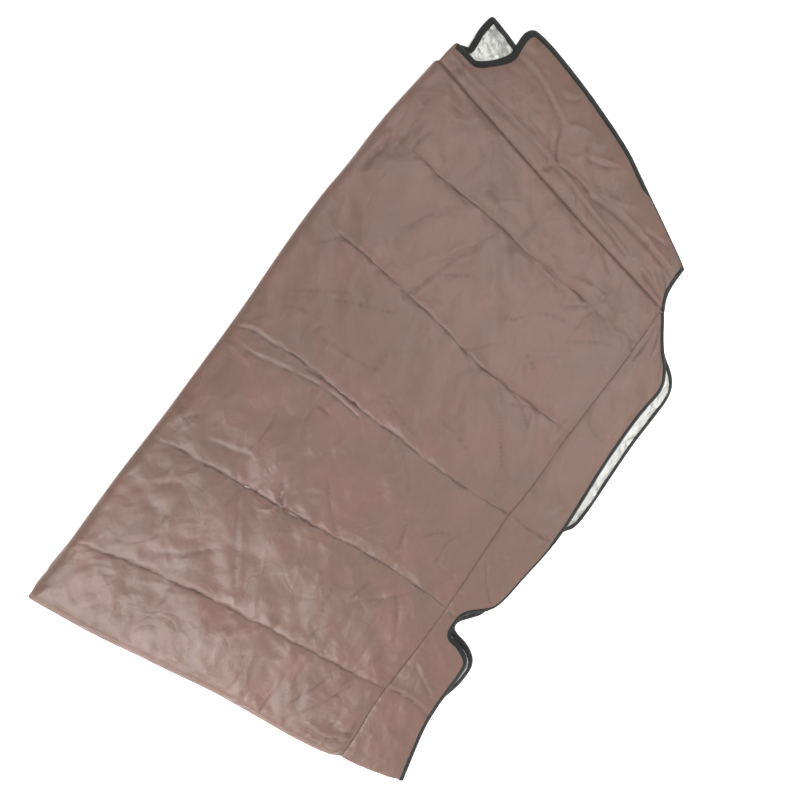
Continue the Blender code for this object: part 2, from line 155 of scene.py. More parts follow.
blanket = {
    "foldLine": [(0.000, 0.052), (0.004, 0.12), (0.006, 0.176), (0.002, 0.371), (0.006, 0.518),
                 (0.005, 0.668), (0.004, 0.832), (-0.004, 1.0), (-0.006, 1.15), (0.001, 1.242),
                 (0.001, 1.373), (0.013, 1.50), (0.018, 1.558)],
    "footLine": [(0.000, 0.052), (0.105, 0.042), (0.177, 0.037), (0.281, 0.035), (0.35, 0.032),
                 (0.483, 0.030), (0.592, 0.020), (0.732, 0.006), (0.848, 0.001), (0.893, 0.010)],
    "sideSeam": [(0.893, 0.010), (0.892, 0.08), (0.879, 0.18), (0.889, 0.328), (0.893, 0.5),
                 (0.886, 0.663), (0.880, 0.81), (0.890, 0.897), (0.888, 1.059), (0.894, 1.23),
                 (0.900, 1.349), (0.898, 1.472), (0.897, 1.527)],
    "headSeam": [(0.018, 1.558), (0.148, 1.551), (0.367, 1.542), (0.552, 1.535), (0.807, 1.530),
                 (0.897, 1.527)],
    "flapSide": [(1.116, 0.014), (1.089, 0.11), (1.069, 0.19), (1.066, 0.28), (1.069, 0.36),
                 (1.064, 0.402), (1.005, 0.432), (0.958, 0.436), (0.953, 0.474), (0.956, 0.510),
                 (1.010, 0.545), (1.041, 0.585), (1.052, 0.68), (1.067, 0.77), (1.074, 0.86),
                 (1.066, 0.97), (1.055, 1.10), (1.055, 1.28), (1.072, 1.368), (1.040, 1.418),
                 (0.985, 1.460), (0.955, 1.492), (0.918, 1.534)],
    "bottomSide": [(1.098, 0.006), (1.082, 0.10), (1.071, 0.20), (1.075, 0.27), (1.090, 0.31),
                   (1.097, 0.35), (1.094, 0.400), (1.045, 0.436), (0.966, 0.452), (0.963, 0.480),
                   (0.990, 0.505), (1.025, 0.540), (1.035, 0.65), (1.050, 0.80), (1.085, 0.868),
                   (1.108, 0.888), (1.114, 0.95), (1.108, 1.10), (1.106, 1.20), (1.112, 1.29),
                   (1.115, 1.38), (1.080, 1.425), (1.00, 1.455), (0.93, 1.53), (0.885, 1.59),
                   (0.868, 1.648)],
    "bottomHead": [(0.024, 1.622), (0.034, 1.636), (0.054, 1.646), (0.054, 1.652), (0.050, 1.700),
                   (0.053, 1.730), (0.056, 1.742), (0.066, 1.744), (0.100, 1.742), (0.14, 1.738),
                   (0.40, 1.702), (0.65, 1.676), (0.868, 1.648)],
    "headSide": [(0.918, 1.534), (0.893, 1.572), (0.888, 1.611), (0.889, 1.664)],
    "headTop": [(0.157, 1.792), (0.198, 1.799), (0.306, 1.796), (0.404, 1.788), (0.538, 1.771),
                (0.624, 1.744), (0.739, 1.711), (0.852, 1.677), (0.889, 1.664)],
    "headLeft": [(0.018, 1.553), (0.024, 1.622), (0.028, 1.628), (0.060, 1.630), (0.080, 1.629),
                 (0.090, 1.632), (0.122, 1.668), (0.143, 1.705), (0.140, 1.730), (0.138, 1.765),
                 (0.146, 1.784), (0.157, 1.792)],
}
crisp = ("bottomHead", "headLeft")              # lines whose corners stay tight
edges = {name: roundedLine(points, turns=1 if name in crisp else 3) for name, points in blanket.items()}


# folds pressed into the cloth

packing = {                                     # where the blanket was folded to pack it
    "folds": [                                  # from the foot, each from the folded side to the seam
        dict(line=[(0.012, 0.211), (0.164, 0.228), (0.383, 0.236), (0.629, 0.227), (0.879, 0.230)],
             deep=4.6, start=0.02, end=1.0),
        dict(line=[(0.009, 0.495), (0.194, 0.504), (0.389, 0.505), (0.655, 0.522), (0.892, 0.502)],
             deep=4.4, start=0.04, end=1.0),
        dict(line=[(0.005, 0.815), (0.171, 0.822), (0.348, 0.809), (0.496, 0.805), (0.642, 0.796),
                   (0.880, 0.810)], deep=4.2, start=0.12, end=1.0),
        dict(line=[(0.000, 1.112), (0.183, 1.104), (0.339, 1.100), (0.508, 1.078), (0.637, 1.081),
                   (0.889, 1.089)], deep=3.8, start=0.06, end=0.95),
        dict(line=[(0.004, 1.366), (0.187, 1.365), (0.358, 1.381), (0.529, 1.379), (0.715, 1.397),
                   (0.899, 1.405)], deep=4.4, start=0.10, end=0.80),
    ],
    "headWidth": 4.0, "footWidth": 20.0,        # how wide a fold's two slopes are, mm
    "cut": 2.0, "cutWidth": 1.8,                # the sharp line at the bottom of a fold, mm
    "wander": 0.0032,                           # how far a fold strays from its smooth line
    "span": 90.0,                               # how far a fold shapes the cloth each way, mm
    "humps": ((22, 16, 0.22), (-45, 24, -0.12)),    # beside a fold: place and width in mm, share of its depth
    "patchy": ((0.060, 0.42), (0.017, 0.20)),   # how its depth varies along it: size, share
    "markWidth": 2.6, "markMost": 0.8,          # the painted shade line in a crease: half width in mm, most of it
    "creases": [                                # depth, half width and lip in mm, then plan points
        (1.8, 5.4, 1.4, (0.05, 0.760), (0.153, 0.784), (0.27, 0.800), (0.368, 0.787)),
        (-1.6, 6.8, 0.0, (0.229, 1.117), (0.30, 1.25), (0.383, 1.364)),
        (1.3, 4.7, 0.8, (0.372, 1.364), (0.319, 1.229), (0.275, 1.078)),
        (1.3, 4.7, 1.0, (0.202, 0.527), (0.285, 0.404), (0.369, 0.276)),
        (-1.2, 8.1, 0.0, (0.369, 0.276), (0.392, 0.236), (0.43, 0.10)),
        (-1.3, 6.8, 0.0, (0.232, 0.750), (0.260, 0.651), (0.288, 0.552)),
        (2.0, 5.4, 1.4, (0.313, 0.538), (0.35, 0.50), (0.398, 0.501)),
        (1.8, 5.4, 1.4, (0.30, 0.575), (0.33, 0.515), (0.345, 0.47)),
        (-1.8, 5.4, 0.0, (0.355, 0.545), (0.335, 0.50), (0.29, 0.472)),
        (-2.0, 8.1, 0.0, (0.60, 1.40), (0.669, 1.434), (0.74, 1.43), (0.796, 1.398)),
        (1.6, 5.4, 1.0, (0.64, 1.34), (0.70, 1.385), (0.745, 1.445)),
        (-1.8, 6.1, 0.0, (0.0, 0.772), (0.04, 0.757), (0.085, 0.752)),
        (1.6, 5.4, 1.2, (0.0, 0.795), (0.05, 0.815), (0.11, 0.812)),
        (-1.8, 6.1, 0.0, (0.0, 0.585), (0.045, 0.552), (0.100, 0.538)),
        (2.4, 6.8, 1.6, (0.02, 1.245), (0.03, 1.31), (0.042, 1.368)),
        (1.2, 4.7, 0.9, (0.05, 0.93), (0.10, 0.97), (0.165, 1.01)),
        (1.3, 5.4, 0.9, (0.10, 0.55), (0.16, 0.56), (0.215, 0.575)),
        (-1.1, 9.9, 0.0, (0.45, 0.70), (0.47, 0.60), (0.455, 0.51)),
        (-1.1, 11.0, 0.0, (0.63, 0.79), (0.655, 0.66), (0.64, 0.53)),
        (-1.0, 9.9, 0.0, (0.74, 0.52), (0.70, 0.39), (0.73, 0.24)),
        (-1.1, 11.0, 0.0, (0.56, 1.07), (0.59, 0.95), (0.56, 0.81)),
        (2.0, 6.8, 1.0, (0.53, 0.062), (0.545, 0.066), (0.56, 0.063)),
        (3.4, 6.8, 3.0, (0.72, 0.055), (0.80, 0.036), (0.845, 0.052), (0.885, 0.058)),
        (2.4, 6.1, 1.6, (0.78, 0.09), (0.83, 0.082), (0.885, 0.075)),
        (1.8, 5.4, 1.2, (0.87, 0.13), (0.865, 0.10), (0.885, 0.062)),
        (-1.3, 7.7, 0.0, (0.36, 1.51), (0.40, 1.45), (0.47, 1.42)),
        (-1.4, 8.1, 0.0, (0.15, 1.50), (0.19, 1.45), (0.20, 1.39)),
        (1.2, 6.8, 0.8, (0.22, 1.52), (0.235, 1.46), (0.225, 1.40)),
    ],
    "crumple": 1.7,                             # how far the small crumples by a fold stand, mm
    "crumpleReach": 22.0,                       # how far they spread from it, mm
    "strays": 120, "strayDepth": 2.0, "strayWidth": 6.4,    # loose creases left by handling
}


def strayFolds(look, low, high, count, seed):
    chance = np.random.default_rng(seed)
    folds = []
    for _ in range(count):
        middle = chance.uniform(low, high)
        turn = chance.normal(0.9, 0.75)
        half = chance.uniform(0.025, 0.085) * np.array([math.cos(turn), math.sin(turn)])
        bow = chance.normal(0, 0.010, 2)
        folds.append((chance.choice([-1, 1]) * chance.uniform(0.4, 1.0) * look["strayDepth"],
                      chance.uniform(0.6, 1.6) * look["strayWidth"],
                      chance.uniform(0.0, 0.6) * look["strayDepth"],
                      middle - half, middle + bow, middle + half))
    return folds


def creased(rows):
    return [dict(deep=deep, wide=wide, rise=rise, line=roundedLine(points, step=0.008))
            for deep, wide, rise, *points in rows]


placedCreases = creased(packing["creases"])
strayCreases = creased(strayFolds(packing, (0.04, 0.06), (0.86, 1.50), packing["strays"], 5))
for number, fold in enumerate(packing["folds"]):
    line = fold["line"] = roundedLine(fold["line"], step=0.008)
    bend = [noise.noise((x / 0.055, number * 3.7, 0.5)) + 0.6 * noise.noise((x / 0.018, number, 4.5))
            for x in line[:, 0]]
    line[1:-1, 1] += packing["wander"] * np.array(bend)[1:-1]


def addFolds(x, y, folds, seed, boost=1.0, shadeMarks=None):
    # narrow creases and ridges, in metres
    lift = np.zeros(np.shape(x))
    wander = ripple(x, y, 0.040, seed) * 2.0 + ripple(x, y, 0.012, seed + 1) * 0.7
    for number, crease in enumerate(folds):
        line = crease["line"]
        reach = crease["wide"] * 0.006
        close = ((x > line[:, 0].min() - reach) & (x < line[:, 0].max() + reach)
                 & (y > line[:, 1].min() - reach) & (y < line[:, 1].max() + reach))
        if not close.any():
            continue
        far, side, place = nearLine(np.stack([x[close], y[close]], -1), line)
        length = lineLength(line)
        strength = smooth(place, -0.004, 0.02) * smooth(length - place, -0.004, 0.02)
        strength = strength * (0.85 + 0.4 * ripple(place, place * 0, 0.03, seed + number))
        across = (far * side) * 1000 + wander[close] * 0.4
        wide = crease["wide"]
        valley = np.exp(-np.abs(across / wide) ** 1.15)
        lip = np.exp(-((across - 2.1 * wide) / (1.3 * wide)) ** 2)
        lift[close] += strength * (-crease["deep"] * valley + crease["rise"] * lip) / 1000
        # a sunken crease also gets a painted shade line, for the cloth finish to darken
        if shadeMarks is not None and crease["deep"] > 0:
            most = min(crease["deep"] / packing["markWidth"], packing["markMost"])
            shadeMark = strength * np.exp(-np.abs(across / packing["markWidth"]) ** 1.5) * most
            shadeMarks[close] = np.maximum(shadeMarks[close], shadeMark)
    return lift * boost


def packedFolds(x, y, shadeMarks):
    # the long folds across the panel, each with a gentle slope and a steep one
    lift = np.zeros(np.shape(x))
    for number, fold in enumerate(packing["folds"]):
        line = fold["line"]
        gap = (y - np.interp(x, line[:, 0], line[:, 1])) * 1000
        close = np.abs(gap) < packing["span"]
        a, gx = gap[close], x[close]
        share = gx / seamX
        strength = smooth(share, fold["start"] - 0.02, fold["start"] + 0.05)
        strength = strength * (1 - smooth(share, fold["end"] - 0.05, fold["end"] + 0.02) * 0.7)
        uneven = [share * ripple(gx, gx * 0, size, seed + number)
                  for seed, (size, share) in zip((20, 30), packing["patchy"])]
        strength = strength * (0.80 + uneven[0] + uneven[1])
        slope = packing["footWidth"] * (1.0 + 0.75 * ripple(gx, gx * 0, 0.085, 25 + number))
        slope = np.maximum(slope, 4.0)
        depth = np.where(a > 0, np.exp(-np.abs(a) / packing["headWidth"]), np.exp(-np.abs(a) / slope))
        swell = sum(high * np.exp(-((a - place) / wide) ** 2) for place, wide, high in packing["humps"])
        lift[close] += strength * fold["deep"] * (swell - depth) / 1000
        sharp = strength * np.exp(-np.abs(a) / packing["cutWidth"])
        lift[close] -= packing["cut"] * sharp / 1000
        # the sharp line at a fold's bottom is also painted as shade
        shadeMarks[close] = np.maximum(shadeMarks[close], sharp)
        fade = np.exp(-(a / packing["crumpleReach"]) ** 2)
        facets = np.abs(ripple(gx, a / 1000, 0.022, 40 + number, 1.9)) - 0.35
        lift[close] += strength * fade * facets * packing["crumple"] / 1000
    return lift


def softWaves(x, y, height, size, seed):
    # long loose waves that run slantwise, as in lightly stuffed cloth
    a, b = x * 0.82 + y * 0.57, -x * 0.57 + y * 0.82
    slow = ripple(a, b, size, seed, 1.7) * 0.7
    ridged = 1 - np.abs(ripple(a, b, size * 0.62, seed + 3, 2.6)) * 2
    return height * (slow + ridged * 0.35)


# meshes

def rowPoint(plan, z):
    plan = np.asarray(plan, float)
    return np.stack([plan[..., 0] + foldX, plan[..., 1] + footY, np.broadcast_to(z, plan.shape[:-1])], -1)


def meshPiece(name, points, faces, materials, faceMaterials=None):
    mesh = bpy.data.meshes.new(name)
    mesh.from_pydata([tuple(p) for p in points], [], [tuple(f) for f in faces])
    for material in materials:
        mesh.materials.append(material)
    if faceMaterials is not None:
        mesh.polygons.foreach_set("material_index", np.asarray(faceMaterials, np.int32))
    mesh.polygons.foreach_set("use_smooth", np.ones(len(mesh.polygons), bool))
    mesh.update()
    piece = bpy.data.objects.new(name, mesh)
    bpy.context.scene.collection.objects.link(piece)
    return piece


def gridFaces(rows, columns, start=0, flip=False):
    index = start + np.arange(rows * columns).reshape(rows, columns)
    a, b, c, d = index[:-1, :-1], index[:-1, 1:], index[1:, 1:], index[1:, :-1]
    quads = np.stack([a, b, c, d] if not flip else [a, d, c, b], -1).reshape(-1, 4)
    return quads


def rimLoop(rows, columns):
    # the border of a grid, walked against the clock seen from above
    index = np.arange(rows * columns).reshape(rows, columns)
    return np.concatenate([index[0, :-1], index[:-1, -1], index[-1, :0:-1], index[:0:-1, 0]])


def outwards(loop):
    run = np.roll(loop, -1, 0) - np.roll(loop, 1, 0)
    run = run / np.maximum(np.hypot(run[:, 0], run[:, 1]), 1e-9)[:, None]
    return np.stack([run[:, 1], -run[:, 0]], 1)


def slab(name, plan, top, under, materials, rimShape, rimMaterial=0):
    # a closed padded sheet: top and under surfaces on one plan, joined by a rounded rim
    rows, columns = top.shape
    upper = rowPoint(plan, top).reshape(-1, 3)
    lower = rowPoint(plan, under).reshape(-1, 3)
    loop = rimLoop(rows, columns)
    flat = plan.reshape(-1, 2)[loop]
    rings = rimShape(flat, outwards(flat), top.reshape(-1)[loop], under.reshape(-1)[loop])
    points = [upper, lower] + [rowPoint(ring[:, :2], ring[:, 2]) for ring in rings]
    count = rows * columns
    faces = [gridFaces(rows, columns), gridFaces(rows, columns, count, True)]
    kinds = [np.zeros(len(faces[0])), np.ones(len(faces[1]))]
    chain = [loop] + [2 * count + k * len(loop) + np.arange(len(loop)) for k in range(len(rings))]
    chain.append(loop + count)
    for above, below in zip(chain[:-1], chain[1:]):
        quads = np.stack([above, below, np.roll(below, -1), np.roll(above, -1)], 1)
        faces.append(quads)
        kinds.append(np.full(len(quads), rimMaterial))
    return meshPiece(name, np.vstack(points), np.vstack(faces), materials, np.concatenate(kinds))


def storeShadeMask(piece, shadeMarks):
    # stores on the upper side where creases and seams fall, as a mask of painted shade for its finish to
    # darken
    layer = piece.data.attributes.new("pressed", "FLOAT", "POINT")
    values = np.zeros(len(piece.data.vertices), np.float32)
    values[:shadeMarks.size] = np.clip(shadeMarks, 0, 1).ravel()
    layer.data.foreach_set("value", values)


def softRim(bulge):
    def rim(flat, out, top, under):
        shares = [(0.45, 0.12), (0.85, 0.30), (1.0, 0.52), (0.85, 0.74), (0.45, 0.90)]
        return [np.column_stack([flat + out * bulge * reach, top + (under - top) * drop])
                for reach, drop in shares]
    return rim


def tape(name, line, topAt, underAt, width, material, lift=0.0008, reach=0.0016, turned=None):
    # a binding folded over an edge; line runs with the cloth on its left
    line = np.asarray(line, float)
    run = np.gradient(line, axis=0)
    run = run / np.maximum(np.hypot(run[:, 0], run[:, 1]), 1e-9)[:, None]
    inward = np.stack([-run[:, 1], run[:, 0]], 1)
    along = alongLine(line)
    wander = np.array([noise.noise((s * 38, 0.3, width * 900)) for s in along])[:, None]
    width = width * (1 + 0.10 * wander)
    shown = width if turned is None else width * turned(line)[:, None]    # less where it turns under
    edgeTop, edgeUnder = topAt(line), underAt(line)
    rings = []
    profile = [(1.0, "top", -0.9), (1.0, "top", 0.7), (0.86, "top", 1.0), (0.5, "top", 1.05),
               (0.18, "top", 1.0), (0.0, "edge", 0.16), (-1, "edge", 0.5), (0.0, "edge", 0.84),
               (0.18, "under", 1.0), (0.5, "under", 1.05), (0.86, "under", 1.0),
               (1.0, "under", 0.7), (1.0, "under", -0.9)]
    for share, where, amount in profile:
        if where == "edge":
            plan = line - inward * (reach * (1.0 if share < 0 else 0.75))
            z = edgeTop + lift + (edgeUnder - edgeTop - 2 * lift) * amount
        else:
            plan = line + inward * ((shown if where == "top" else width) * share)
            surface = topAt(plan) if where == "top" else underAt(plan)
            z = surface + (lift if where == "top" else -lift) * amount
        rings.append(rowPoint(plan, z))
    points = np.stack(rings, 1)                 # station, profile, xyz
    stations, count = points.shape[:2]
    index = np.arange(stations * count).reshape(stations, count)
    near, far = index[:-1], index[1:]
    faces = np.stack([near, far, np.roll(far, -1, 1), np.roll(near, -1, 1)], -1).reshape(-1, 4)
    faces = faces.tolist() + [index[0].tolist(), index[-1, ::-1].tolist()]
    girth = np.linspace(0, 0.034, count + 1)    # the way round the tape, for its weave
    run = np.stack([along[:-1], along[1:], along[1:], along[:-1]], -1)[:, None]
    around = np.stack([girth[:-1], girth[:-1], girth[1:], girth[1:]], -1)[None]
    uvs = np.stack(np.broadcast_arrays(run, around), -1).reshape(-1, 2)
    uvs = np.vstack([uvs, np.zeros((2 * count, 2))])
    piece = meshPiece(name, points.reshape(-1, 3), faces, [material])
    layer = piece.data.uv_layers.new(name="tape")
    layer.data.foreach_set("uv", uvs.astype(np.float32).ravel())
    return piece


# materials

def nodeGroup(name, inputs, outputs):
    group = bpy.data.node_groups.new(name, "ShaderNodeTree")
    for label, kind, value in inputs:
        socket = group.interface.new_socket(name=label, in_out="INPUT", socket_type=kind)
        if value is not None:
            socket.default_value = value
    for label, kind in outputs:
        group.interface.new_socket(name=label, in_out="OUTPUT", socket_type=kind)
    return group, group.nodes.new("NodeGroupInput"), group.nodes.new("NodeGroupOutput")


def feed(tree, value, socket):    # links a socket's value in, or sets a plain one
    if isinstance(value, bpy.types.NodeSocket):
        tree.links.new(value, socket)
    else:
        socket.default_value = value


def addNode(tree, kind, setup=None, **values):
    # setup goes to the node's own properties, and values go to its inputs by their names
    node = tree.nodes.new(kind)
    for name, value in (setup or {}).items():
        setattr(node, name, value)
    for label, value in values.items():
        feed(tree, value, node.inputs[label.replace("_", " ")])
    return node


def mathNode(tree, operation, *values):
    node = addNode(tree, "ShaderNodeMath", {"operation": operation})
    for slot, value in enumerate(values):
        feed(tree, value, node.inputs[slot])
    return node.outputs[0]


def mixColour(tree, factor, first, second, blend="MIX"):
    node = addNode(tree, "ShaderNodeMix", {"data_type": "RGBA", "blend_type": blend})
    for slot, value in ((0, factor), (6, first), (7, second)):
        feed(tree, value, node.inputs[slot])
    return node.outputs[2]


def plainWeave():    # warp over weft: height and a light thread shade
    tree, given, out = nodeGroup("plain_weave", [("Vector", "NodeSocketVector", None),
                                                 ("Threads per metre", "NodeSocketFloat", 1600.0)],
                                 [("Height", "NodeSocketFloat"), ("Shade", "NodeSocketFloat")])
    split = addNode(tree, "ShaderNodeSeparateXYZ", Vector=given.outputs["Vector"])
    turns = mathNode(tree, "MULTIPLY", given.outputs["Threads per metre"], math.pi)
    warp = mathNode(tree, "SINE", mathNode(tree, "MULTIPLY", split.outputs[0], turns))
    weft = mathNode(tree, "SINE", mathNode(tree, "MULTIPLY", split.outputs[1], turns))
    over = mathNode(tree, "GREATER_THAN", mathNode(tree, "MULTIPLY", warp, weft), 0.0)
    warpUp = mathNode(tree, "MULTIPLY", mathNode(tree, "ABSOLUTE", warp), over)
    weftUp = mathNode(tree, "MULTIPLY", mathNode(tree, "ABSOLUTE", weft),
                      mathNode(tree, "SUBTRACT", 1.0, over))
    feed(tree, mathNode(tree, "ADD", warpUp, weftUp), out.inputs["Height"])
    feed(tree, mathNode(tree, "MULTIPLY_ADD", over, 0.06, 0.97), out.inputs["Shade"])
    return tree


def softCrumple():    # small sharp-edged dents as in a thin crisp cloth
    tree, given, out = nodeGroup("soft_crumple", [("Vector", "NodeSocketVector", None),
                                                  ("Size", "NodeSocketFloat", 0.03)],
                                 [("Height", "NodeSocketFloat"), ("Broad", "NodeSocketFloat")])
    vector, scale = given.outputs["Vector"], mathNode(tree, "DIVIDE", 1.0, given.outputs["Size"])
    broad = addNode(tree, "ShaderNodeTexNoise", Vector=vector, Scale=scale, Detail=3.0,
                    Roughness=0.45, Distortion=0.6).outputs[0]
    ridge = mathNode(tree, "ABSOLUTE", mathNode(tree, "MULTIPLY_ADD", broad, 2.0, -1.0))
    dents = addNode(tree, "ShaderNodeTexVoronoi", {"feature": "SMOOTH_F1"}, Vector=vector,
                    Scale=scale, Smoothness=0.35, Randomness=1.0)
    mixed = mathNode(tree, "MULTIPLY_ADD", dents.outputs["Distance"], 0.45, ridge)
    feed(tree, mixed, out.inputs["Height"])
    feed(tree, broad, out.inputs["Broad"])
    return tree


def crispFacets():    # flat tilted patches that meet along sharp creases
    tree, given, out = nodeGroup("crisp_facets", [("Vector", "NodeSocketVector", None),
                                                  ("Size", "NodeSocketFloat", 0.1)],
                                 [("Height", "NodeSocketFloat")])
    vector, scale = given.outputs["Vector"], mathNode(tree, "DIVIDE", 1.0, given.outputs["Size"])
    wobble = addNode(tree, "ShaderNodeTexNoise", Vector=vector, Scale=9.0, Detail=1.0)
    shifted = addNode(tree, "ShaderNodeVectorMath", {"operation": "MULTIPLY_ADD"})
    for slot, value in enumerate((wobble.outputs["Color"], (0.07, 0.07, 0.0), vector)):
        feed(tree, value, shifted.inputs[slot])
    heights = []
    for turn, stretch, share in ((0.6, 0.50, 1.0), (-0.5, 0.62, 1.9)):
        placed = addNode(tree, "ShaderNodeMapping", Vector=shifted.outputs[0],
                         Rotation=(0.0, 0.0, turn), Scale=(share, share * stretch, share))
        cells = addNode(tree, "ShaderNodeTexVoronoi", {"distance": "CHEBYCHEV"},
                        Vector=placed.outputs[0], Scale=scale)
        heights.append(mathNode(tree, "MULTIPLY", cells.outputs["Distance"], 1.0 / share))
    feed(tree, mathNode(tree, "ADD", *heights), out.inputs["Height"])
    return tree


def dyeDrift():    # slow change of shade over a cloth
    tree, given, out = nodeGroup("dye_drift", [("Vector", "NodeSocketVector", None),
                                               ("Size", "NodeSocketFloat", 0.25)],
                                 [("Mask", "NodeSocketFloat")])
    scale = mathNode(tree, "DIVIDE", 1.0, given.outputs["Size"])
    slow = addNode(tree, "ShaderNodeTexNoise", Vector=given.outputs["Vector"], Scale=scale,
                   Detail=2.5, Distortion=0.8)
    ramp = addNode(tree, "ShaderNodeMapRange", Value=slow.outputs[0], From_Min=0.34, From_Max=0.66)
    feed(tree, ramp.outputs[0], out.inputs["Mask"])
    return tree


weaveGroup, crumpleGroup, driftGroup, facetGroup = plainWeave(), softCrumple(), dyeDrift(), crispFacets()


def finish(name, look):    # one cloth, tape or plastic finish from its dictionary
    material = bpy.data.materials.new(name)
    material.use_nodes = True
    tree = material.node_tree
    shader = tree.nodes["Principled BSDF"]
    place = addNode(tree, "ShaderNodeTexCoord")
    vector = place.outputs["UV" if look.get("alongPiece") else "Object"]
    weave = addNode(tree, "ShaderNodeGroup", {"node_tree": weaveGroup}, Vector=vector,
                    Threads_per_metre=look["threads"])
    crumple = addNode(tree, "ShaderNodeGroup", {"node_tree": crumpleGroup}, Vector=vector,
                      Size=look["crumpleSize"])
    drift = addNode(tree, "ShaderNodeGroup", {"node_tree": driftGroup}, Vector=vector,
                    Size=look["driftSize"])
    thread = weave.outputs["Shade"]
    grey = addNode(tree, "ShaderNodeCombineColor", Red=thread, Green=thread, Blue=thread)
    colour = mixColour(tree, drift.outputs["Mask"], (*look["colour"], 1), (*look["otherColour"], 1))
    colour = mixColour(tree, 1.0, colour, grey.outputs[0], "MULTIPLY")
    if "pressedDark" in look:                   # painted shade: darkens the cloth along creases and seams, where their shadow falls
        pressed = addNode(tree, "ShaderNodeAttribute", {"attribute_name": "pressed"})
        shadedColour = [part * (1 - look["pressedDark"]) for part in look["colour"]]
        colour = mixColour(tree, pressed.outputs["Fac"], colour, (*shadedColour, 1))
    feed(tree, colour, shader.inputs["Base Color"])
    rough = mathNode(tree, "MULTIPLY_ADD", crumple.outputs["Broad"], look["roughSpread"],
                     look["rough"] - look["roughSpread"] * 0.5)
    feed(tree, rough, shader.inputs["Roughness"])
    bumps = [(look["threadHeight"], weave), (look["crumpleHeight"], crumple)]
    if "facetHeight" in look:
        bumps.append((look["facetHeight"], addNode(tree, "ShaderNodeGroup", {"node_tree": facetGroup},
                                                   Vector=vector, Size=look["facetSize"])))
    target = shader.inputs["Normal"]
    for height, source in reversed(bumps):
        bump = addNode(tree, "ShaderNodeBump", Distance=height, Height=source.outputs["Height"])
        feed(tree, bump.outputs[0], target)
        target = bump.inputs["Normal"]
    for label, key, plain in (("Metallic", "metal", 0.0), ("Specular IOR Level", "specular", 0.5),
                              ("Sheen Weight", "sheen", 0.0), ("Sheen Roughness", "sheenRough", 0.4)):
        shader.inputs[label].default_value = look.get(key, plain)
    shader.inputs["Sheen Tint"].default_value = (*look.get("sheenTint", (1, 1, 1)), 1)
    return material


finishColumns = ("colour", "otherColour", "threads", "threadHeight", "crumpleSize", "crumpleHeight",
                 "driftSize", "rough", "roughSpread")
finishes = {                                    # the columns above, then what only some have
    "outerCloth": ((0.212, 0.119, 0.094), (0.186, 0.113, 0.088),
        1700, 0.00006, 0.085, 0.0030, 0.16, 0.45, 0.26,
        # its last entry is how much painted shade darkens the cloth along creases and seams
        dict(facetSize=0.105, facetHeight=0.0075, specular=0.55, sheen=0.08, sheenRough=0.35,
             sheenTint=(0.92, 0.80, 0.75), pressedDark=0.62)),
    "silverCloth": ((0.62, 0.62, 0.585), (0.50, 0.505, 0.475),
        1500, 0.00005, 0.022, 0.0022, 0.10, 0.38, 0.2, dict(metal=0.75, specular=0.5)),
    "edgeTape": ((0.009, 0.010, 0.0095), (0.014, 0.015, 0.014),
        1400, 0.00022, 0.016, 0.0006, 0.05, 0.47, 0.18, dict(specular=0.38, sheen=0.02, alongPiece=True)),
    "brownThread": ((0.105, 0.070, 0.058), (0.085, 0.056, 0.046),
        5200, 0.00005, 0.006, 0.0001, 0.02, 0.6, 0.1, {}),
    "blackThread": ((0.018, 0.019, 0.018), (0.026, 0.027, 0.026),
        5200, 0.00005, 0.006, 0.0001, 0.02, 0.55, 0.1, {}),
    "hookTape": ((0.020, 0.021, 0.021), (0.030, 0.031, 0.030),
        700, 0.0003, 0.01, 0.0004, 0.03, 0.62, 0.2, {}),
    "heatingMat": ((0.42, 0.44, 0.40), (0.36, 0.38, 0.35),
        900, 0.0002, 0.02, 0.0005, 0.08, 0.7, 0.2, {}),
    "wireSleeve": ((0.55, 0.09, 0.06), (0.48, 0.07, 0.05),
        2600, 0.0001, 0.008, 0.0001, 0.05, 0.42, 0.15, {}),
    "leadSleeve": ((0.06, 0.06, 0.065), (0.09, 0.09, 0.09),
        2600, 0.00005, 0.008, 0.0001, 0.05, 0.45, 0.15, {}),
    "mouldedPlastic": ((0.020, 0.020, 0.021), (0.026, 0.026, 0.027),
        1900, 0.00003, 0.002, 0.00006, 0.01, 0.42, 0.12, {}),
    "contactMetal": ((0.72, 0.58, 0.30), (0.66, 0.52, 0.27),
        3000, 0.00001, 0.003, 0.00003, 0.004, 0.3, 0.15, dict(metal=1.0)),
    "sensorShell": ((0.75, 0.75, 0.72), (0.68, 0.68, 0.66),
        2200, 0.00002, 0.003, 0.00004, 0.01, 0.5, 0.1, {}),
}
mats = {name: finish(name, {**dict(zip(finishColumns, row)), **extra})
        for name, (*row, extra) in finishes.items()}
print("finishes made:", len(mats))


# the upper panel: sewn, then swollen by its wadding

upperPanel = {
    "columns": 80, "rowStep": 0.0108, "crowding": 0.72,    # cells of the loose cloth
    "full": 0.0368,                             # height of the stuffed middle
    "footEdge": 0.0268, "foldEdge": 0.0322, "seamEdge": 0.0336, "headEdge": 0.0338,
    "press": 1.0, "steps": 24, "swell": 0.0046, "hold": 0.13,    # the push from below, and its hold
    "cloth": dict(quality=5, mass=0.12, tension_stiffness=18, compression_stiffness=18,
                  shear_stiffness=6, bending_stiffness=0.5, tension_damping=4,
                  compression_damping=4, shear_damping=4, air_damping=6, pin_stiffness=0.6,
                  shrink_min=-0.010),           # a little longer than its plan
    "waves": 0.0044, "waveSize": 0.105, "ripples": 0.0021, "rippleSize": 0.048,
    "placedBoost": 2.5, "strayBoost": 1.6,
    "spine": 0.0075,                            # how far the folded side stands out
    "crinkle": 0.0012, "ceiling": 0.0438, "lowest": 0.0184,
    "seamSlope": 0.13, "headDip": 0.0045, "footDip": 0.011, "foldDip": 0.007,
    "bulge": 0.0032, "footBulge": 0.001,
    "seamDark": 0.0034,                         # half width of the painted shade line along a sewn seam
}


foilSize = 0.026                                # how far apart the lining's crinkles are


